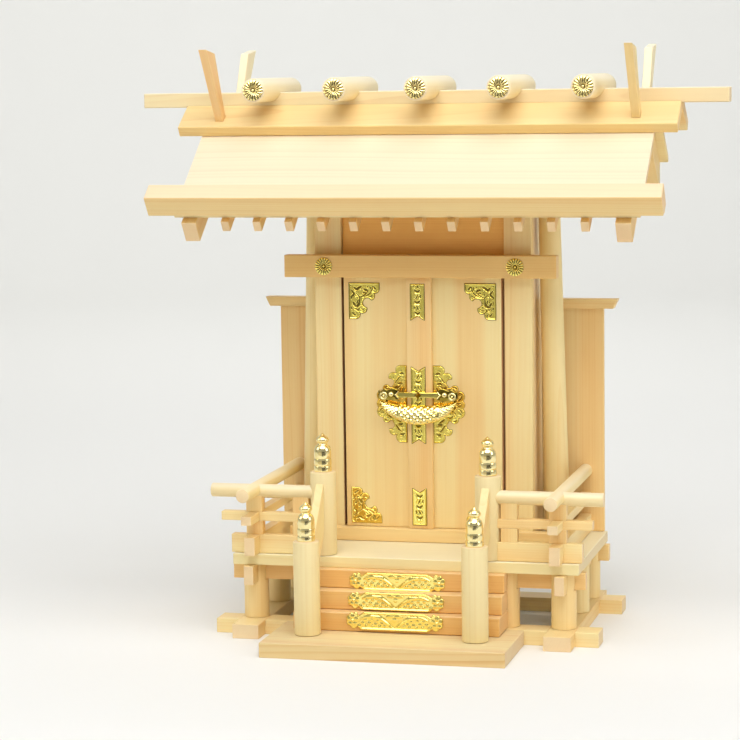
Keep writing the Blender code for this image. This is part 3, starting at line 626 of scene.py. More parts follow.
FINIAL = [  # radius and height as shares of the whole, from the tip of the jewel down to the foot
    (0, 1.0), (0.10, 0.985), (0.22, 0.955), (0.36, 0.925), (0.52, 0.90), (0.66, 0.865), (0.71, 0.83), (0.70, 0.795),
    (0.64, 0.768), (0.57, 0.75), (0.53, 0.735), (0.52, 0.72), (0.54, 0.705), (0.60, 0.69), (0.70, 0.672),
    (0.80, 0.645), (0.87, 0.61), (0.915, 0.57), (0.94, 0.53), (0.948, 0.49), (0.95, 0.44), (0.95, 0.355),
    (0.935, 0.342), (0.93, 0.334), (0.94, 0.326), (0.96, 0.31), (0.97, 0.29), (0.979, 0.26), (0.984, 0.23),
    (0.986, 0.20), (0.985, 0.175), (0.97, 0.162), (0.945, 0.153), (0.94, 0.146), (0.95, 0.139), (0.972, 0.127),
    (0.982, 0.11), (0.991, 0.08), (0.997, 0.05), (1.0, 0.02), (0.99, 0), (0, 0),
]


def finials(metal):
    for name, low, high, middle in nodes_named("finial_"):
        radius, height = (high.x - low.x) / 2, high.z - low.z
        shape = spun([(radius * r, height * h) for r, h in FINIAL], 64, (middle.x, middle.y, low.z))
        finished(shape, f"{name}_turned", metal, replaces=[name], smooth=50)


def chrysanthemum(name, centre, radius, metal):
    """A disc of rounded petals, which curl over at the rim, round a boss in a sunk ring."""
    petals, depth, boss, groove, curl = 18, 1.9 * MM, 0.15, 0.22, 0.9      # the last three as shares of the radius
    shares = [0, 0.05, 0.1, 0.13, 0.15, 0.17, 0.2, 0.23, 0.3, 0.4, 0.5, 0.6, 0.7, 0.8, 0.87, 0.92, 0.96, 1.0]
    front = 0.5             # only tells the front's points from the back's, until they get their heights
    shape = spun([(radius * share, front) for share in shares] + [(radius, 0), (0, 0)], petals * 10)
    # raised is low in the sunk ring and along the grooves between the petals: there the plating takes its painted
    # shade.
    raised = shape.verts.layers.float.new("raised")
    for vert in shape.verts:
        share = min(vert.co.xy.length / radius, 1.0)
        ridge = abs(cos(petals / 2 * atan2(vert.co.y, vert.co.x)))
        if vert.co.z < front / 2:
            height = 0.0
        elif share < groove:
            dome = max(0.0, 1 - (share / boss) ** 2) ** 0.5
            height = depth * (0.12 + 0.5 * dome)
            vert[raised] = min(1.0, dome * 1.5)
        else:
            fan = (share - groove) / (1 - groove)
            height = depth * (0.12 + 0.66 * sin(pi * (0.07 + fan * 0.8)) * (0.5 + 0.5 * ridge ** 0.8))
            vert[raised] = max(0.0, min(1.0, 0.5 + (ridge - 0.69 + 0.4 * fan ** 2) * 3.5)) * eased(fan, -0.1, 0.05)
        if share > curl:
            vert.co.xy *= 0.95 + 0.05 * ridge ** 0.6
        vert.co.z = height
    finished(moved_to(shape, centre, -Y), name, metal, smooth=55)


def discs(ridge_metal, lintel_metal):
    """A disc on the end of each billet, and one on each side of the lintel."""
    stand_off, aside = mm(0.03, 76.0)
    for name, low, high, middle in nodes_named("billet_"):
        chrysanthemum(name.replace("_", "_disc_"), (middle.x, low.y - stand_off, middle.z), 8.1 * MM, ridge_metal)
    low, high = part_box("lintel")
    for word, side in SIDES.items():
        place = side * aside, low.y - stand_off, (low.z + high.z) / 2
        chrysanthemum(f"lintel_disc_{word}", place, 6.9 * MM, lintel_metal)


def smoothed(points):
    """A line through some points, with its corners cut off and its ends kept."""
    line = np.array(points, float)
    for _ in range(3):
        near, far = line[:-1] * 0.75 + line[1:] * 0.25, line[:-1] * 0.25 + line[1:] * 0.75
        line = np.concatenate([line[:1], np.stack([near, far], 1).reshape(-1, 2), line[-1:]])
    return line


class Chasing:
    """The relief of a pressed plate, in millimetres: a smooth face with narrow cuts, and soft lumps raised on it."""

    def __init__(self, x, z):
        self.x, self.z = x, z
        self.lumps = np.zeros(len(x))
        self.cut = np.full(len(x), 9.0)         # how far each point lies outside the cuts

    def bead(self, x, z, radius, tall=0.5):
        away = ((self.x - x) ** 2 + (self.z - z) ** 2) / radius ** 2
        self.lumps = np.maximum(self.lumps, tall * np.clip(1 - away, 0, None) ** 1.3)

    def hole(self, x, z, radius, tall=0.0):
        self.cut = np.minimum(self.cut, np.hypot(self.x - x, self.z - z) - radius)

    def trace(self, tool, points, wide, tall=0.5):
        """Drags a tool along a line. Its width swells in the middle."""
        line = smoothed(points)
        gone = np.concatenate([[0], np.cumsum(np.linalg.norm(np.diff(line, axis=0), axis=1))])
        for share in np.linspace(0, 1, max(int(gone[-1] / 0.2), 8)):
            x, z = (np.interp(share * gone[-1], gone, line[:, axis]) for axis in (0, 1))
            tool(x, z, 0.2 + (wide * 1.3 - 0.2) * sin(pi * share) ** 0.6, tall)

    def strokes(self, tool, lines, *tall):
        """Drags a tool along several lines, each given with its width."""
        for line, width in lines:
            self.trace(tool, line, width, *tall)

    def relief(self, face=0.6):
        return face * (eased(self.cut, -0.16, 0.12) * 0.93 + eased(self.cut, 0.0, 1.5) * 0.07) + self.lumps

    def framed(self, depth, fade=(0.3, 0.8), width=0.95, rolled=0.45):
        """The relief inside a raised border. It fades out towards the outline."""
        return np.maximum(self.relief() * eased(depth, *fade), border(depth, width, 0.85, rolled))


def union(*shapes):
    return np.maximum.reduce(shapes)


def rounds(x, z, *discs):
    """How far a point lies inside any of some discs, given as (x, z, radius)."""
    return union(*(radius - np.hypot(x - cx, z - cz) for cx, cz, radius in discs))


def blocks(x, z, *boxes):
    """How far a point lies inside any of some boxes, given as (x0, x1, z0, z1)."""
    return union(*(np.minimum.reduce([x - x0, x1 - x, z - z0, z1 - z]) for x0, x1, z0, z1 in boxes))


def eased(value, low, high):
    share = np.clip((value - low) / (high - low), 0, 1)
    return share * share * (3 - 2 * share)


def plate(name, spans, inside, relief, back, body, metal, origin=(0, 0), scale=(1, 1), cell=0.24, ground=0.12):
    """A pressed plate on an upright face. A fine grid is trimmed to an outline, raised by a relief and closed behind.
    Lengths are in millimetres. spans, inside(a, b), which says how far a point lies within the outline, and
    relief(a, b, depth) are measured from the origin, and multiplied by the scale. back is the plane behind it."""
    def local(x, z):
        return (x - origin[0]) * scale[0], (z - origin[1]) * scale[1]

    (x0, x1), (z0, z1) = (sorted(at + end / by for end in span) for span, at, by in zip(spans, origin, scale))
    shape = bmesh.new()
    bmesh.ops.create_grid(shape, x_segments=round((x1 - x0) / cell), y_segments=round((z1 - z0) / cell), size=1)
    shape.verts.ensure_lookup_table()
    flat = np.array([vert.co[:2] for vert in shape.verts])
    flat = (flat - flat.min(0)) / (flat.max(0) - flat.min(0))
    points = np.array((x0, z0)) + flat * np.array((x1 - x0, z1 - z0))
    for vert, (x, z) in zip(shape.verts, points):
        vert.co = (x, 0, z)
    outside = inside(*local(*points.T)) < -0.25 * cell
    bmesh.ops.delete(shape, geom=[v for v, out in zip(list(shape.verts), outside) if out], context="VERTS")
    for fewest in (2, 1):       # stray corners, then points left with no face
        stray = [vert for vert in shape.verts if len(vert.link_faces) < fewest]
        bmesh.ops.delete(shape, geom=stray, context="VERTS")

    rim = [vert for vert in shape.verts if vert.is_boundary]
    spots = np.array([(vert.co.x, vert.co.z) for vert in rim])
    step = 0.02
    for _ in range(4):          # pulls the edge of the grid onto the outline
        x, z = spots.T
        slope = np.stack([inside(*local(x + step, z)) - inside(*local(x - step, z)),
                          inside(*local(x, z + step)) - inside(*local(x, z - step))], 1) / (2 * step)
        pull = (inside(*local(x, z)) / np.maximum((slope ** 2).sum(1), 0.2))[:, None] * slope
        spots -= np.clip(pull, -cell, cell)
    for vert, (x, z) in zip(rim, spots):
        vert.co.x, vert.co.z = x, z

    a, b = local(*np.array([(vert.co.x, vert.co.z) for vert in shape.verts]).T)
    # raised follows the relief's height: where it is low, in the cuts and round the outline, the plating takes its
    # painted shade.
    raised = shape.verts.layers.float.new("raised")
    for vert, height in zip(shape.verts, relief(a, b, inside(a, b))):
        vert[raised] = min(max(height, 0.0) / 0.6, 1.0)
        vert.co.y = back / MM - ground - height
    grown = bmesh.ops.extrude_edge_only(shape, edges=[edge for edge in shape.edges if edge.is_boundary])
    for item in grown["geom"]:
        if isinstance(item, bmesh.types.BMVert):
            item.co.y = back / MM
    bmesh.ops.edgeloop_fill(shape, edges=[edge for edge in shape.edges if edge.is_boundary])
    shape.transform(Matrix.Scale(MM, 4))
    finished(shape, name, metal, body, smooth=70)


def just_before(name):
    """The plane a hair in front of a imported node, where its plates lie."""
    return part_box(name)[0].y - 0.04 * MM


def border(depth, width, tall, rolled=0.45):
    """A raised border along an outline, rolled down over the given width at its very edge."""
    return tall * eased(depth, 0.75 - rolled, 0.75) * (1 - eased(depth, width, width + 0.35))


def corner_plates(metal, low_metal, doors_front):
    """Corner plates, measured from the corner: two straight sides with a lobed edge between them."""
    wide, high = 25.1, 28.8

    def outline(a, b):
        lobes = rounds(a, b, (21.3, 5.0, 3.8), (17.6, 10.4, 3.8), (11.2, 20.6, 3.8), (5.7, 25.0, 3.8))
        sides = blocks(a, b, (-1, 26.0, -1, 5.2), (-1, 6.3, -1, 31.0))
        between = (1.03 - a / 25 - b / 29.3) * 19.0
        bite = -rounds(a, b, (15.2, 15.9, 3.55))
        return np.minimum.reduce([union(lobes, sides, between), bite, a, b, wide - a, high - b])

    cuts = [
        (((4.2, 3.4), (6.8, 5.8), (8.2, 4.0), (10.9, 2.8)), 0.75), (((12.0, 5.0), (14.2, 5.6), (15.8, 6.8)), 0.65),
        (((15.8, 6.6), (14.2, 8.8), (11.8, 10.4), (9.3, 11.5)), 0.3),
        (((19.4, 2.8), (19.0, 6.4), (16.6, 9.2), (13.9, 10.3)), 0.36),
        (((19.4, 2.8), (20.8, 3.6), (22.2, 5.4)), 0.5), (((14.9, 2.6), (15.5, 3.6)), 0.4),
        (((2.2, 5.6), (3.2, 6.8), (4.6, 8.6), (3.8, 10.2), (2.2, 10.8), (2.4, 12.8)), 0.6),
        (((5.9, 8.2), (7.6, 10.0), (9.2, 11.4), (8.6, 14.4), (9.0, 18.2), (7.2, 21.0), (5.2, 22.8)), 0.36),
        (((3.6, 15.2), (4.8, 17.8), (6.4, 18.9)), 0.75), (((8.3, 15.8), (7.6, 18.0), (6.0, 19.0)), 0.75),
        (((3.0, 23.4), (4.4, 25.2), (6.2, 25.9)), 0.6), (((2.2, 18.8), (2.1, 19.8), (2.7, 21.0)), 0.35),
        (((9.6, 20.6), (11.6, 21.4), (12.8, 20.2)), 0.28), (((16.6, 11.2), (18.4, 11.0), (19.4, 9.4)), 0.28),
        (((11.6, 8.4), (12.6, 7.6), (14.0, 7.8)), 0.45), (((6.4, 13.2), (7.2, 14.8), (6.8, 16.4)), 0.4),
        (((4.4, 20.2), (5.6, 21.0), (6.6, 20.4)), 0.35), (((17.2, 3.0), (18.0, 4.2), (17.4, 5.6)), 0.35),
    ]
    glints = [(5.2, 7.2), (9.6, 5.6), (13.2, 6.9), (17.6, 7.2), (20.4, 5.0), (3.2, 9.4), (6.0, 11.4), (3.4, 17.2),
              (5.4, 18.0), (4.2, 24.2), (8.6, 12.4), (11.8, 12.0), (7.8, 20.2), (5.6, 26.2), (15.6, 4.6)]
    leaves = [(((10.0, 5.8), (11.4, 7.6), (9.6, 9.4)), 1.5), (((5.2, 12.2), (6.6, 13.6), (5.6, 15.4)), 1.4),
              (((3.6, 20.4), (5.0, 20.6), (6.4, 19.8)), 0.9), (((14.8, 11.2), (16.6, 12.2), (18.2, 12.8)), 0.9),
              (((10.6, 17.2), (11.2, 18.6), (13.2, 19.6)), 0.9), (((16.0, 4.6), (17.4, 3.8), (18.0, 5.4)), 0.9),
              (((7.0, 27.0), (7.6, 25.6), (7.0, 24.2)), 0.8), (((2.6, 14.2), (2.6, 16.2), (3.4, 18.0)), 0.6)]

    def vines(a, b, depth):
        work = Chasing(a, b)
        work.strokes(work.hole, cuts)
        work.strokes(work.bead, leaves, 0.1)
        for spot in glints:
            work.bead(*spot, 0.7, 0.3)
        work.hole(2.05, 2.4, 0.5)       # the pin's hole, in the corner
        return work.framed(depth)

    for name, x, z, to_x, to_z in (("upper_left", -58.8, 267.2, 1, -1), ("upper_right", 59.1, 267.2, -1, -1),
                                   ("lower_left", -59.1, 76.2, 1, 1), ("lower_right", 59.1, 76.2, -1, 1)):
        plate(f"corner_plate_{name}", ((0, wide), (0, high)), outline, vines, doors_front,
              f"{name.split('_')[1]}_door", metal if to_z < 0 else low_metal, (x, z), (to_x, to_z))


def strip_plates(metal, front):
    """Three plates down the meeting strip. Their free ends are cut to swallowtails."""
    left, right, notch, pitch = -8.3, 3.5, 3.6, 8.6
    middle = (left + right) / 2
    holes = [(((-2.3, 1.4), (0.1, -0.8), (2.4, 1.2)), 0.7), (((-0.7, 6.2), (0.2, 4.4), (1.0, 2.6)), 0.42),
             (((-2.9, 3.2), (-2.3, 4.6), (-2.9, 6.0)), 0.35)]
    beads = [(((-1.6, -1.9), (0.2, -2.6), (1.9, -1.7)), 0.9, 0.3), (((0.6, 6.4), (1.5, 4.8), (2.3, 3.2)), 0.7, 0.2)]

    for name, bottom, top, tails in (("top", 237.8, 267.0, "bottom"), ("middle", 140.8, 202.4, "bottom and top"),
                                     ("bottom", 76.3, 106.3, "top")):
        def outline(x, z):
            shares = 1 - np.abs(x - middle) / ((right - left) / 2)
            low = z - bottom - (notch * shares if "bottom" in tails else 0)
            high = top - z - (notch * shares if "top" in tails else 0)
            return np.minimum.reduce([x - left, right - x, low * 0.85, high * 0.85])

        def vines(x, z, depth):
            work = Chasing(x - middle, z)
            level, turn = bottom + 6.0, 1
            while level < top - 3.0:
                for tool, strokes in ((work.hole, holes), (work.bead, beads)):
                    for line, *size in strokes:
                        work.trace(tool, [(turn * aside, level + up) for aside, up in line], *size)
                work.bead(-1.9 * turn, level + 2.6, 0.9, 0.25)
                level += pitch
                turn = -turn
            return work.framed(depth)

        plate(f"strip_plate_{name}", ((left, right), (bottom, top)), outline, vines, front, "right_door", metal)


def roundel_plates(metal, doors_front):
    """The two halves of the cloud-edged roundel behind the lock, one on each leaf."""
    centre_z, half_height, width = 171.9, 30.6, 24.6

    def outline(s, t):
        t = np.abs(t)
        steps = blocks(s, t, (-1, 8.9, -1, 26.4), (-1, 5.4, 20, 32), (-1, 11.8, -1, 23.8), (-1, 16.2, -1, 13.4))
        lobes = rounds(s, t, (5.0, 26.4, 4.2), (10.9, 21.0, 3.9), (16.5, 12.1, 3.1), (19.9, 6.3, 4.6), (20.4, 0, 4.2))
        bite = -rounds(s, t, (13.3, 16.9, 2.8))
        return np.minimum.reduce([union(steps, lobes), bite, s, half_height - t])

    cuts = [
        (((2.4, 23.2), (3.6, 24.4), (5.6, 23.6)), 0.8), (((3.6, 15.4), (5.0, 16.4), (6.8, 15.4)), 0.75),
        (((9.4, 16.4), (7.6, 18.6), (6.6, 20.6), (4.6, 21.8)), 0.4), (((8.6, 11.6), (6.8, 13.2), (4.8, 14.6)), 0.5),
        (((2.2, 8.6), (3.8, 10.4), (3.0, 12.8)), 0.5),
        (((10.8, 10.0), (13.2, 10.8), (15.2, 9.0)), 0.45), (((12.6, 4.4), (15.0, 5.2), (17.2, 7.4)), 0.5),
        (((19.0, 3.4), (21.4, 4.6), (22.2, 7.0)), 0.42), (((3.0, 4.6), (6.0, 5.4), (8.6, 3.6)), 0.5),
        (((18.0, 0.6), (20.0, 1.2), (22.0, 0.4)), 0.4), (((15.0, 13.0), (16.6, 13.4), (18.0, 12.0)), 0.28),
    ]
    lumps = [(4.9, 25.9, 1.1), (5.2, 17.9, 1.3), (2.7, 18.1, 0.9), (7.6, 17.2, 0.9), (3.6, 21.0, 0.9),
             (6.6, 11.0, 1.3), (11.6, 20.6, 1.2), (12.2, 7.4, 1.5), (20.2, 7.4, 1.5), (16.6, 10.8, 1.2),
             (16.4, 2.4, 1.5), (6.6, 1.6, 1.5)]

    def vines(s, t, depth):
        work = Chasing(s, np.abs(t))
        work.strokes(work.hole, cuts)
        for lump in lumps:
            work.bead(*lump, 0.22)
        return work.framed(depth, (0.5, 1.1), 0.8, 0.8)

    for word, side, inner, stretch in (("left", -1, -12.7, 1.0), ("right", 1, 8.2, 25.6 / width)):
        plate(f"roundel_{word}", ((0, width), (-half_height, half_height)), outline, vines, doors_front,
              f"{word}_door", metal, (inner, centre_z), (side / stretch, 1))


def step_plates(metal):
    """A long plate on each riser: a fan in the middle, waves on both sides and a floral lobe at each end."""
    half_width, half_height, waves_end, flower_x, flower_z = 37.4, 6.7, 24.4, 32.6, 0.1
    foot, head, rim = 1.5, 0.9, 0.6       # how far the borders stand out

    def outline(x, z):
        x = np.abs(x)
        shoulder = np.minimum(half_height - z, (29.5 - x - (z - 3.0) * 1.54) * 0.55)
        body = np.minimum.reduce([shoulder, z + half_height, (29.0 - x + (z + 4.5) * 1.14) * 0.66])
        lobe = rounds(x, z, (32.6, 0.2, 4.5), (35.4, 1.9, 2.0), (35.2, -1.9, 2.0), (33.4, 4.0, 2.0), (30.2, 4.5, 2.0),
                      (31.6, -3.5, 2.7))
        return np.minimum(union(body, lobe), half_width - x)

    lumps = [(9.6, -1.6, 1.5), (12.6, 0.6, 1.6), (14.6, -2.3, 1.5), (17.6, 1.3, 1.5), (19.6, -1.6, 1.4),
             (22.4, 1.0, 1.4), (16.8, -3.8, 1.2), (11.6, -3.9, 1.3), (21.8, -3.6, 1.2), (24.6, -1.6, 1.3),
             (7.4, -3.4, 1.3), (27.4, -4.0, 1.5)]

    def vines(x, z, depth):
        x = np.abs(x)
        work = Chasing(x, z)
        for line in ((0.6, -4.4), (4.4, -0.8), (9.6, 2.6)), ((11.4, 4.8), (14.2, 5.0), (17.4, 4.9)):
            work.trace(work.hole, line, 0.3)
        wave = (2.4, -4.0), (5.8, -0.8), (10.8, 2.6), (16.6, 3.8), (22.6, 3.2), (26.0, 1.6)
        work.trace(work.bead, wave, 1.5, 0.55)
        work.trace(work.bead, ((0, 3.8), (3.2, 4.4), (6.4, 4.0)), 1.0, 0.4)
        work.trace(work.bead, ((0, 0.4), (0.6, 2.4)), 1.2, 0.3)
        for lump in lumps:
            work.bead(*lump, 0.5)
        for petal in range(5):
            way = petal * tau / 5 + 0.3
            work.bead(flower_x + 2.9 * cos(way), flower_z + 2.9 * sin(way), 1.9, 0.5)
        work.bead(flower_x, flower_z, 1.4, 0.7)
        height = union(work.relief(0.5), foot * eased(-z, 4.9, 5.5) * (x < waves_end + 1),
                       head * eased(z, 5.5, 5.8) * (x < waves_end), border(depth, 0.3, rim) * (x > waves_end))
        return height * eased(depth, -0.1, 0.3)

    for number, aside, middle in ((1, -0.5, 20.2), (2, -1.8, 33.4), (3, -3.0, 46.4)):
        plate(f"step_plate_{number}", ((-half_width, half_width), (-half_height, half_height)), outline, vines,
              just_before(f"step_{number}"), "shrine", metal, (aside, middle), cell=0.3, ground=0.5)


# ------------ padlock

LOCK_X, LOCK_Y, LOCK_Z = -1.6, 11.9, 180.2      # the middle of the bar, in millimetres


def lock_body():
    """The crescent body: big scales in the middle, a smooth collar on each side and small scales towards the ends."""
    half, lean, thick = 31.0, 1.6, 3.0
    big_end, collar_end, small_end = 15.2, 17.4, 29.5       # distances from the middle
    shape = bmesh.new()
    bmesh.ops.create_grid(shape, x_segments=220, y_segments=72, size=1)
    raised = shape.verts.layers.float.new("raised")
    for vert in shape.verts:
        share, angle = vert.co.x, pi * vert.co.y
        x = half * sin(share * pi / 2 * 0.999)
        out = abs(x / half)         # the crescent's lower edge sweeps up to its tips, and its upper edge sags
        bottom = LOCK_Z - 23.3 + 10.5 * out ** 1.65 + 8.0 * out ** 7
        top = LOCK_Z - 9.6 + 1.2 * eased(16.0 - abs(x), -1.0, 1.4) + 5.3 * out ** 2.5
        middle, tall = (bottom + top) / 2, (top - bottom) / 2 * (1 - abs(share) ** 14 * 0.9)
        deep = thick * (0.4 + 0.6 * (1 - out ** 2.4))
        across = tall * cos(angle)
        z, y = middle + across, LOCK_Y - deep * sin(angle) + lean * across / 7
        front = max(0.0, sin(angle)) ** 0.6
        height = 0.0
        if abs(x) < big_end:
            height = scales(x, across, 5.2, 2.3, 1.25)
        elif abs(x) < collar_end:
            height = 0.35
        elif abs(x) < small_end:
            height = scales(x, across, 2.7, 1.25, 0.8)
        rim = eased(-across / tall, 0.9, 0.95)
        height = height * (1 - rim) + 0.45 * rim
        # raised is low in the holes between the scales: there the plating takes its painted shade.
        vert[raised] = eased(height, -0.35, 0.05)
        vert.co = (LOCK_X + x, y - height * front, z)
    bmesh.ops.remove_doubles(shape, verts=shape.verts, dist=0.01)
    bmesh.ops.holes_fill(shape, edges=[edge for edge in shape.edges if edge.is_boundary], sides=0)
    return shape


def scales(x, across, pitch, radius, tall):
    """Round scales in staggered rows, with deep holes between them."""
    best = 9.0
    row = across / (pitch / 2)
    for level in (int(np.floor(row)), int(np.floor(row)) + 1):
        shift = pitch / 2 if level % 2 else 0.0
        column = round((x - shift) / pitch)
        best = min(best, ((x - shift - column * pitch) ** 2 + (across - level * pitch / 2) ** 2) ** 0.5)
    share = best / radius
    return tall * (max(0.0, 1 - share * share) ** 0.5 if share < 1 else -0.8 * min(1.0, (share - 1) * 4))


def ball(centre, sizes):
    """A rounded lump: its sizes are half its width, depth and height."""
    shape = bmesh.new()
    bmesh.ops.create_uvsphere(shape, u_segments=32, v_segments=20, radius=1)
    shape.transform(Matrix.Translation(centre) @ Matrix.Diagonal((*sizes, 1)))
    return shape


def ring(centre, radius, thick, squash=0.8):
    """A ring that lies flat on an upright face."""
    circle = [(radius + thick * cos(a), thick * squash * sin(a)) for a in np.linspace(0, tau, 17)]
    return spun(circle, 36, centre, -Y)


def lock_head(side):
    """One fish head, which bites the end of the bar, and on it a ringed eye, a round stud and lips."""
    def at(x, z, y=0.0):
        return (LOCK_X + side * x, LOCK_Y + y, LOCK_Z + z)

    outline = [(15.2, 3.5), (16.6, 1.7), (17.6, 0.2), (16.6, -1.6), (15.0, -3.0), (18.2, -4.1), (24.0, -4.2),
               (29.0, -4.1), (31.4, -2.6), (31.8, 0.4), (31.6, 3.6), (29.4, 2.8), (26.8, 5.2), (24.6, 3.6),
               (20.2, 5.6), (17.6, 4.6)]
    head = sawn([at(x, z)[::2] for x, z in outline], "Y", LOCK_Y - 2.3, LOCK_Y + 2.2, 0.45)
    bite = at(17.8, 0.2, -2.3)
    return head, gathered(ring(at(27.4, -0.6, -2.5), 2.4, 0.75), ball(at(27.4, -0.6, -2.4), (1.0, 0.8, 1.0)),
                          ball(at(21.3, 0.6, -2.5), (2.0, 1.4, 2.0)), rod(bite, at(15.4, 3.0, -2.0), 0.65, 0.4),
                          rod(bite, at(15.3, -2.6, -2.0), 0.65, 0.4), ball(bite, (0.7, 0.7, 0.7)))


def lock(body, metal, shaded, bright):
    """The padlock hangs on the right leaf, in front of the strip."""
    def hung(shape, name, plating, smooth, lean=0.07, replaces=()):
        """Leans a shape back about the bar's middle line, and ends it as a piece of the leaf."""
        for vert in shape.verts:
            vert.co.y += (vert.co.z - LOCK_Z) * lean
        shape.transform(Matrix.Scale(MM, 4))
        finished(shape, name, plating, "right_door", replaces, smooth)

    hung(lock_body(), "lock_crescent", body, 60, 0, ["lock"])
    for word, side in SIDES.items():
        # The heads and the boss take a dark copy of the plating, painted shade, and the eyes, studs and lips a pale
        # one, painted highlight.
        head, features = lock_head(side)
        hung(head, f"lock_head_{word}", shaded, 25)
        hung(features, f"lock_eye_{word}", bright, 25)
    length, deep, tall = 17, 1.6, 2.05      # the bar's, halved
    bar = timber((LOCK_X - length, LOCK_Y - deep, LOCK_Z - tall), (LOCK_X + length, LOCK_Y + deep, LOCK_Z + tall), 0.4)
    hung(bar, "lock_bar", metal, 22)
    boss = rod((LOCK_X, LOCK_Y - 1.4, LOCK_Z), (LOCK_X, LOCK_Y - 3.9, LOCK_Z), 3.0, 0.15, sides=4)     # a pyramid
    hung(boss, "lock_boss", shaded, 22)


# ------------ stage, light and camera

def stage():
    """A round studio cove: a pale floor that sweeps up into a wall well behind every camera."""
    floor_radius, sweep, height = 2.9, 0.8, 3.2
    profile = [(0.0, 0.0), (floor_radius, 0.0)]
    profile += [(floor_radius + sweep * sin(a), sweep * (1 - cos(a))) for a in np.linspace(0.15, pi / 2, 10)]
    cove = solid("studio_cove", spun(profile + [(floor_radius + sweep, height)], 96))
    cove.data.shade_smooth()
    paint = Finish("studio_white")
    away = paint.vector("LENGTH", paint.add("TexCoord", output=3), output=1)
    # The paint darkens away from the middle: painted shade for the far floor and wall, which stand in less light.
    tone = paint.mix(away.step(0.3, 2.6), srgb(243, 243, 241), srgb(226, 226, 223))
    cove.data.materials.append(paint.surface(Base_Color=tone, Roughness=0.9))


def card(name, low, high, colour, strength):
    """A card that only reflections see, so that the gilding has something to mirror."""
    made = solid(name, timber(low, high, 0))
    glow = {"Base_Color": (0, 0, 0, 1), "Roughness": 0.9, "Emission_Color": colour, "Emission_Strength": strength}
    made.data.materials.append(Finish(name).surface(**glow))
    made.visible_camera = made.visible_diffuse = made.visible_shadow = made.visible_transmission = False


def cards():
    """The table ends in front of the shrine. Past its edge the room is dark on the camera's side and dim on the other,
    and a bright panel hangs high in front."""
    dark, dim = srgb(34, 28, 20), srgb(180, 174, 158)
    card("studio_dark_floor", (-0.05, -1.66, 0.001), (1.5, -0.62, 0.004), dark, 1.0)
    card("studio_dark_wall", (-0.05, -1.68, 0.0), (1.5, -1.66, 0.27), dark, 1.0)
    card("studio_dim_floor", (-1.7, -1.66, 0.001), (-0.05, -0.75, 0.004), dim, 1.15)
    card("studio_dim_wall", (-1.7, -1.68, 0.0), (-0.05, -1.66, 0.32), dim, 0.95)
    card("studio_ceiling", (-2.4, -2.6, 2.4), (2.4, 2.4, 2.42), srgb(246, 240, 224), 0.8)
    card("studio_panel", (-0.6, -1.5, 1.28), (0.9, -0.9, 1.3), srgb(255, 253, 246), 8.0)


def lamp(name, place, aim, size, watts):
    light = bpy.data.lights.new(name, "AREA")
    light.shape = "RECTANGLE"
    light.size, light.size_y = size
    light.energy = watts
    made = linked(name, light)
    made.location = place
    made.rotation_euler = (Vector(aim) - Vector(place)).to_track_quat("-Z", "Y").to_euler()


def lights():
    world = bpy.data.worlds.new("studio")
    bpy.context.scene.world = world
    world.use_nodes = True
    backdrop = world.node_tree.nodes["Background"].inputs
    backdrop["Color"].default_value = srgb(250, 250, 247)
    backdrop["Strength"].default_value = 0.02
    shrine = (0, 0, 0.2)
    lamp("overhead_box", (0.3, -0.8, 1.9), (0, -0.1, 0.2), (2.0, 1.7), 29)
    lamp("high_front_box", (0.3, -1.8, 1.7), shrine, (1.6, 1.0), 11)
    lamp("right_box", (2.1, -0.6, 1.0), shrine, (1.0, 1.2), 10.7)
    lamp("left_box", (-2.0, -0.9, 1.2), shrine, (1.0, 1.2), 9.5)
    lamp("wall_wash", (-0.6, 1.6, 2.4), (-0.6, 3.4, 0.6), (2.4, 0.5), 50)
    bpy.context.scene.view_settings.view_transform = "Standard"


def camera():
    """Stands 1.9 m in front, a little to the right and above the ridge, looking slightly down."""
    data = bpy.data.cameras.new("camera")
    data.sensor_width, data.lens = 36.0, 122.69
    made = bpy.context.scene.camera = linked("camera", data)
    yaw, pitch, roll = -0.246555, 0.118431, -0.014415
    ahead = Vector((sin(yaw) * cos(pitch), cos(yaw) * cos(pitch), -sin(pitch)))
    level = Vector((cos(yaw), -sin(yaw), 0))
    upright = level.cross(ahead)
    right = level * cos(roll) + upright * sin(roll)
    up = upright * cos(roll) - level * sin(roll)
    made.matrix_world = Matrix((right, up, -ahead)).transposed().to_4x4()
    made.location = (0.438167, -1.888547, 0.432515)


# ------------ boards with nothing to add, and the door's edges

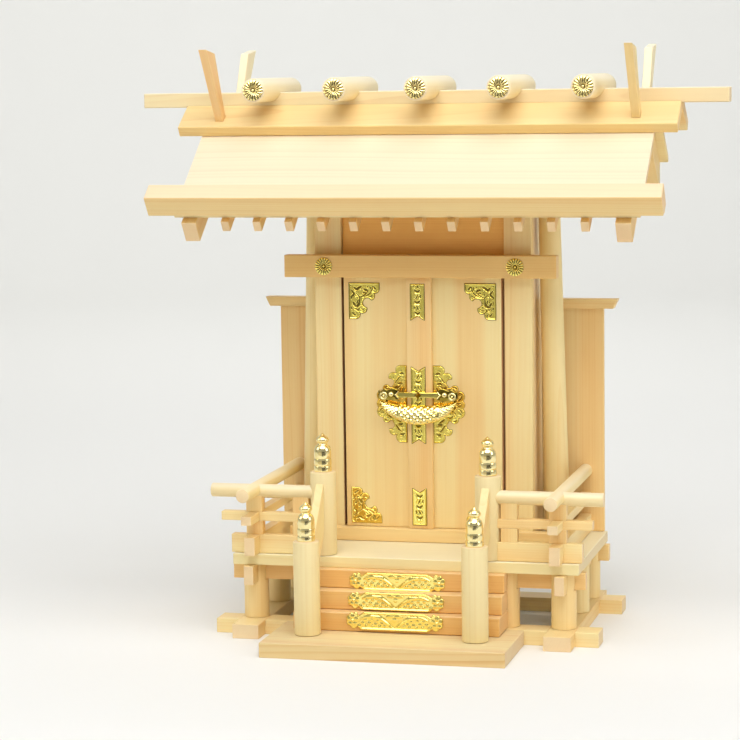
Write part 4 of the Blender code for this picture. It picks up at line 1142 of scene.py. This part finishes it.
def carried_boards():
    """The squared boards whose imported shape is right: each gets its own cut of cypress."""
    slope, horn_front, horn_rear = Vector((0, 36.9, 27.7)), Vector((0, -40.5, 56.4)), Vector((0, 40.5, 56.4))
    # The rear horns take a painted top highlight and a painted wash of bright light, where strong light washes them
    # out.
    door_tone, rear_horn_painted_light = (1.0, 0.99, 0.95), (0.3, (1, 1, 1), 0.4)
    boards = {  # the grain and the face, and then pith, ring, redness, the painted top highlight, tone, the painted washout, lean and figure
        "floor_board": (X, Z, (60, -30), 2.6, -0.1, 0.5, (0.95, 0.99, 1.02)),
        "base_board": (X, Z, (12, -26), 2.8, 0.3, 0.15, (0.87, 0.87, 0.89), 0.0, 0.03, 3.2),
        "step_1": (X, Y, (70, 20), 1.9, 0.8, 0.3, RISER),
        "step_2": (X, Y, (66, 30), 2.0, 0.75, 0.3, RISER),
        "step_3": (X, Y, (74, 24), 1.8, 0.8, 0.3, RISER),
        "pilaster_left": (Z, Y, (58, -18), 2.5, 0.35),
        "pilaster_right": (Z, Y, (20, -34), 2.7, 0.3),
        "side_wall_left": (Z, X, (50, 20), 2.4, 0.4),
        # The right side wall is paled by a painted wash of bright light, on a face that stands in shade beside the
        # pilaster.
        "side_wall_right": (Z, X, (50, 20), 2.4, 0.4, 0.3, (1, 1, 1), 0.3),
        "rear_wall": (Z, Y, (30, -90), 2.6, 0.3),
        # The transom and the lintel are redder and deeper in tone as painted shade, the saturated dark under the eave.
        "transom_panel": (X, Y, (60, 14), 2.0, 1.1, 0.0, (1.1, 0.94, 0.6)),
        "lintel": (X, Y, (52, 20), 2.0, 0.6, 0.0, (0.97, 0.95, 0.84)),
        "threshold": (X, Y, (-12, 44), 2.2, 0.6),
        "door_left": (Z, Y, (84, -22), 2.6, 0.4, 0.0, door_tone, 0.0, 0.006, 0.5),
        "door_right": (Z, Y, (-70, -26), 2.7, 0.35, 0.0, door_tone, 0.0, 0.006, 0.5),
        "roof_panel_rear": (X, Z, (120, -40), 3.0, 0.0, 0.45),
        "eave_board": (X, Y, (60, 10), 2.2, 0.45, 0.5, (0.97, 0.91, 0.88), 0.0, 0.01, 1.7),
        "ridge_cap_front": (X, Z, (20, -26), 2.8, 0.4, 0.15, (1.0, 0.97, 0.86), 0.0, 0.02, 2.0),
        "ridge_cap_rear": (X, Z, (20, -46), 2.6, 0.5, 0.3),
        "ridge_board": (X, Y, (4, 14), 2.4, 0.2, 0.4, (0.95, 0.94, 0.95), 0.2, 0.03, 2.4),
        "horn_front_left": (horn_front, X, (60, 9), 1.7, 0.65, 0.0, (1.03, 0.98, 1.05)),
        "horn_front_right": (horn_front, X, (60, 9), 1.7, 0.25),
        "horn_rear_left": (horn_rear, X, (60, 9), 1.7, 0.1, *rear_horn_painted_light),
        "horn_rear_right": (horn_rear, X, (60, 9), 1.7, 0.1, *rear_horn_painted_light),
        "stair_rail_left": (slope, X, (40, 8), 2.2, 0.2),
        "stair_rail_right": (slope, X, (40, 8), 2.2, 0.2),
    }
    for name, (grain, face, *cut) in boards.items():
        wood = cypress(name, grain, face, middle_of(*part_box(name)), *cut)
        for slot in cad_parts[name].material_slots:
            slot.material = wood


def meeting_strip():
    """The strip's long edges are rounded, and catch the light."""
    low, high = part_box("meeting_strip")
    in_cypress(timber(low, high, 0.55 * MM), "meeting_strip_planed", Z, Y, ["meeting_strip"], "right_door", smooth=35,
               pith=(60, 6), ring=1.6, redness=0.7)


def reveals():
    """The narrow gaps beside the doors: linings on the jambs, and leaf edges rounded about the pivot, which lets them
    turn. Both are brown, painted shade for the dark inside the gaps.
    """
    # A brown that paints the shade inside the gaps.
    gap_shade = Finish("painted_gap_shade").surface(Base_Color=srgb(176, 124, 76), Roughness=0.85)
    behind, shorter, pivot_inset, proud = mm(1.3, 0.4, 2.2, 0.03)
    for (word, side), radius in zip(SIDES.items(), mm(2.9, 3.4)):
        low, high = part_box(f"door_{word}")
        foot, head = low.z + shorter, high.z - shorter
        inner = min(abs(corner.x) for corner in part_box(f"pilaster_{word}"))
        lining = timber((side * (inner - 0.25 * MM), low.y + behind, foot),
                        (side * (inner - 0.05 * MM), low.y + 12 * MM, head), 0)
        finished(lining, f"jamb_shade_lining_{word}", gap_shade)
        outer, middle, half = max(side * low.x, side * high.x), (low.y + high.y) / 2, (high.y - low.y) / 2 - behind
        turns = np.linspace(-1, 1, 9) * np.arcsin(half / radius)
        curve = [(side * (outer - pivot_inset + radius * cos(turn)), middle + radius * sin(turn)) for turn in turns]
        flat = [(side * (outer + proud), middle + half), (side * (outer + proud), middle - half)]
        finished(sawn(curve + flat, "Z", foot, head, 0), f"leaf_edge_{word}", gap_shade, f"{word}_door", smooth=40)


stage()
cards()
lights()
camera()
carried_boards()
meeting_strip()
reveals()
frames()
posts()
newels_and_pillars()
billets()
railings()
wings()
roof()
doors_front = just_before("door_left")
finials(gilt("gilt_finial", srgb(255, 239, 180), 0.1, metallic=0.9))
discs(gilt("gilt_ridge", srgb(255, 238, 168), 0.1, 0.85, metallic=0.93),
      gilt("gilt_pressed", srgb(255, 237, 130), 0.1, 0.95, metallic=0.95))
corner_plates(gilt("gilt_corner", srgb(250, 236, 120), 0.12, 0.85, metallic=0.92),
              gilt("gilt_corner_low", srgb(255, 230, 124), 0.12, 0.5, metallic=0.96), doors_front)
strip_plates(gilt("gilt_strip", srgb(251, 237, 124), 0.12, 0.8, metallic=0.92), just_before("meeting_strip"))
roundel_plates(gilt("gilt_roundel", srgb(252, 236, 120), 0.12, 0.75, lock_reflection_at=0.178, metallic=0.85), doors_front)
step_plates(gilt("gilt_step", srgb(254, 236, 138), 0.14, 0.35, metallic=0.9))
# The lock's heads and boss get a darker gilt, painted shade, and its eyes a paler one, painted highlight.
lock(gilt("gilt_lock_body", srgb(254, 240, 166), 0.1, 0.85), gilt("gilt_lock", srgb(251, 232, 128), 0.1),
     gilt("gilt_painted_shade", srgb(142, 122, 44), 0.14), gilt("gilt_painted_highlight", srgb(254, 242, 176), 0.1, metallic=0.85))
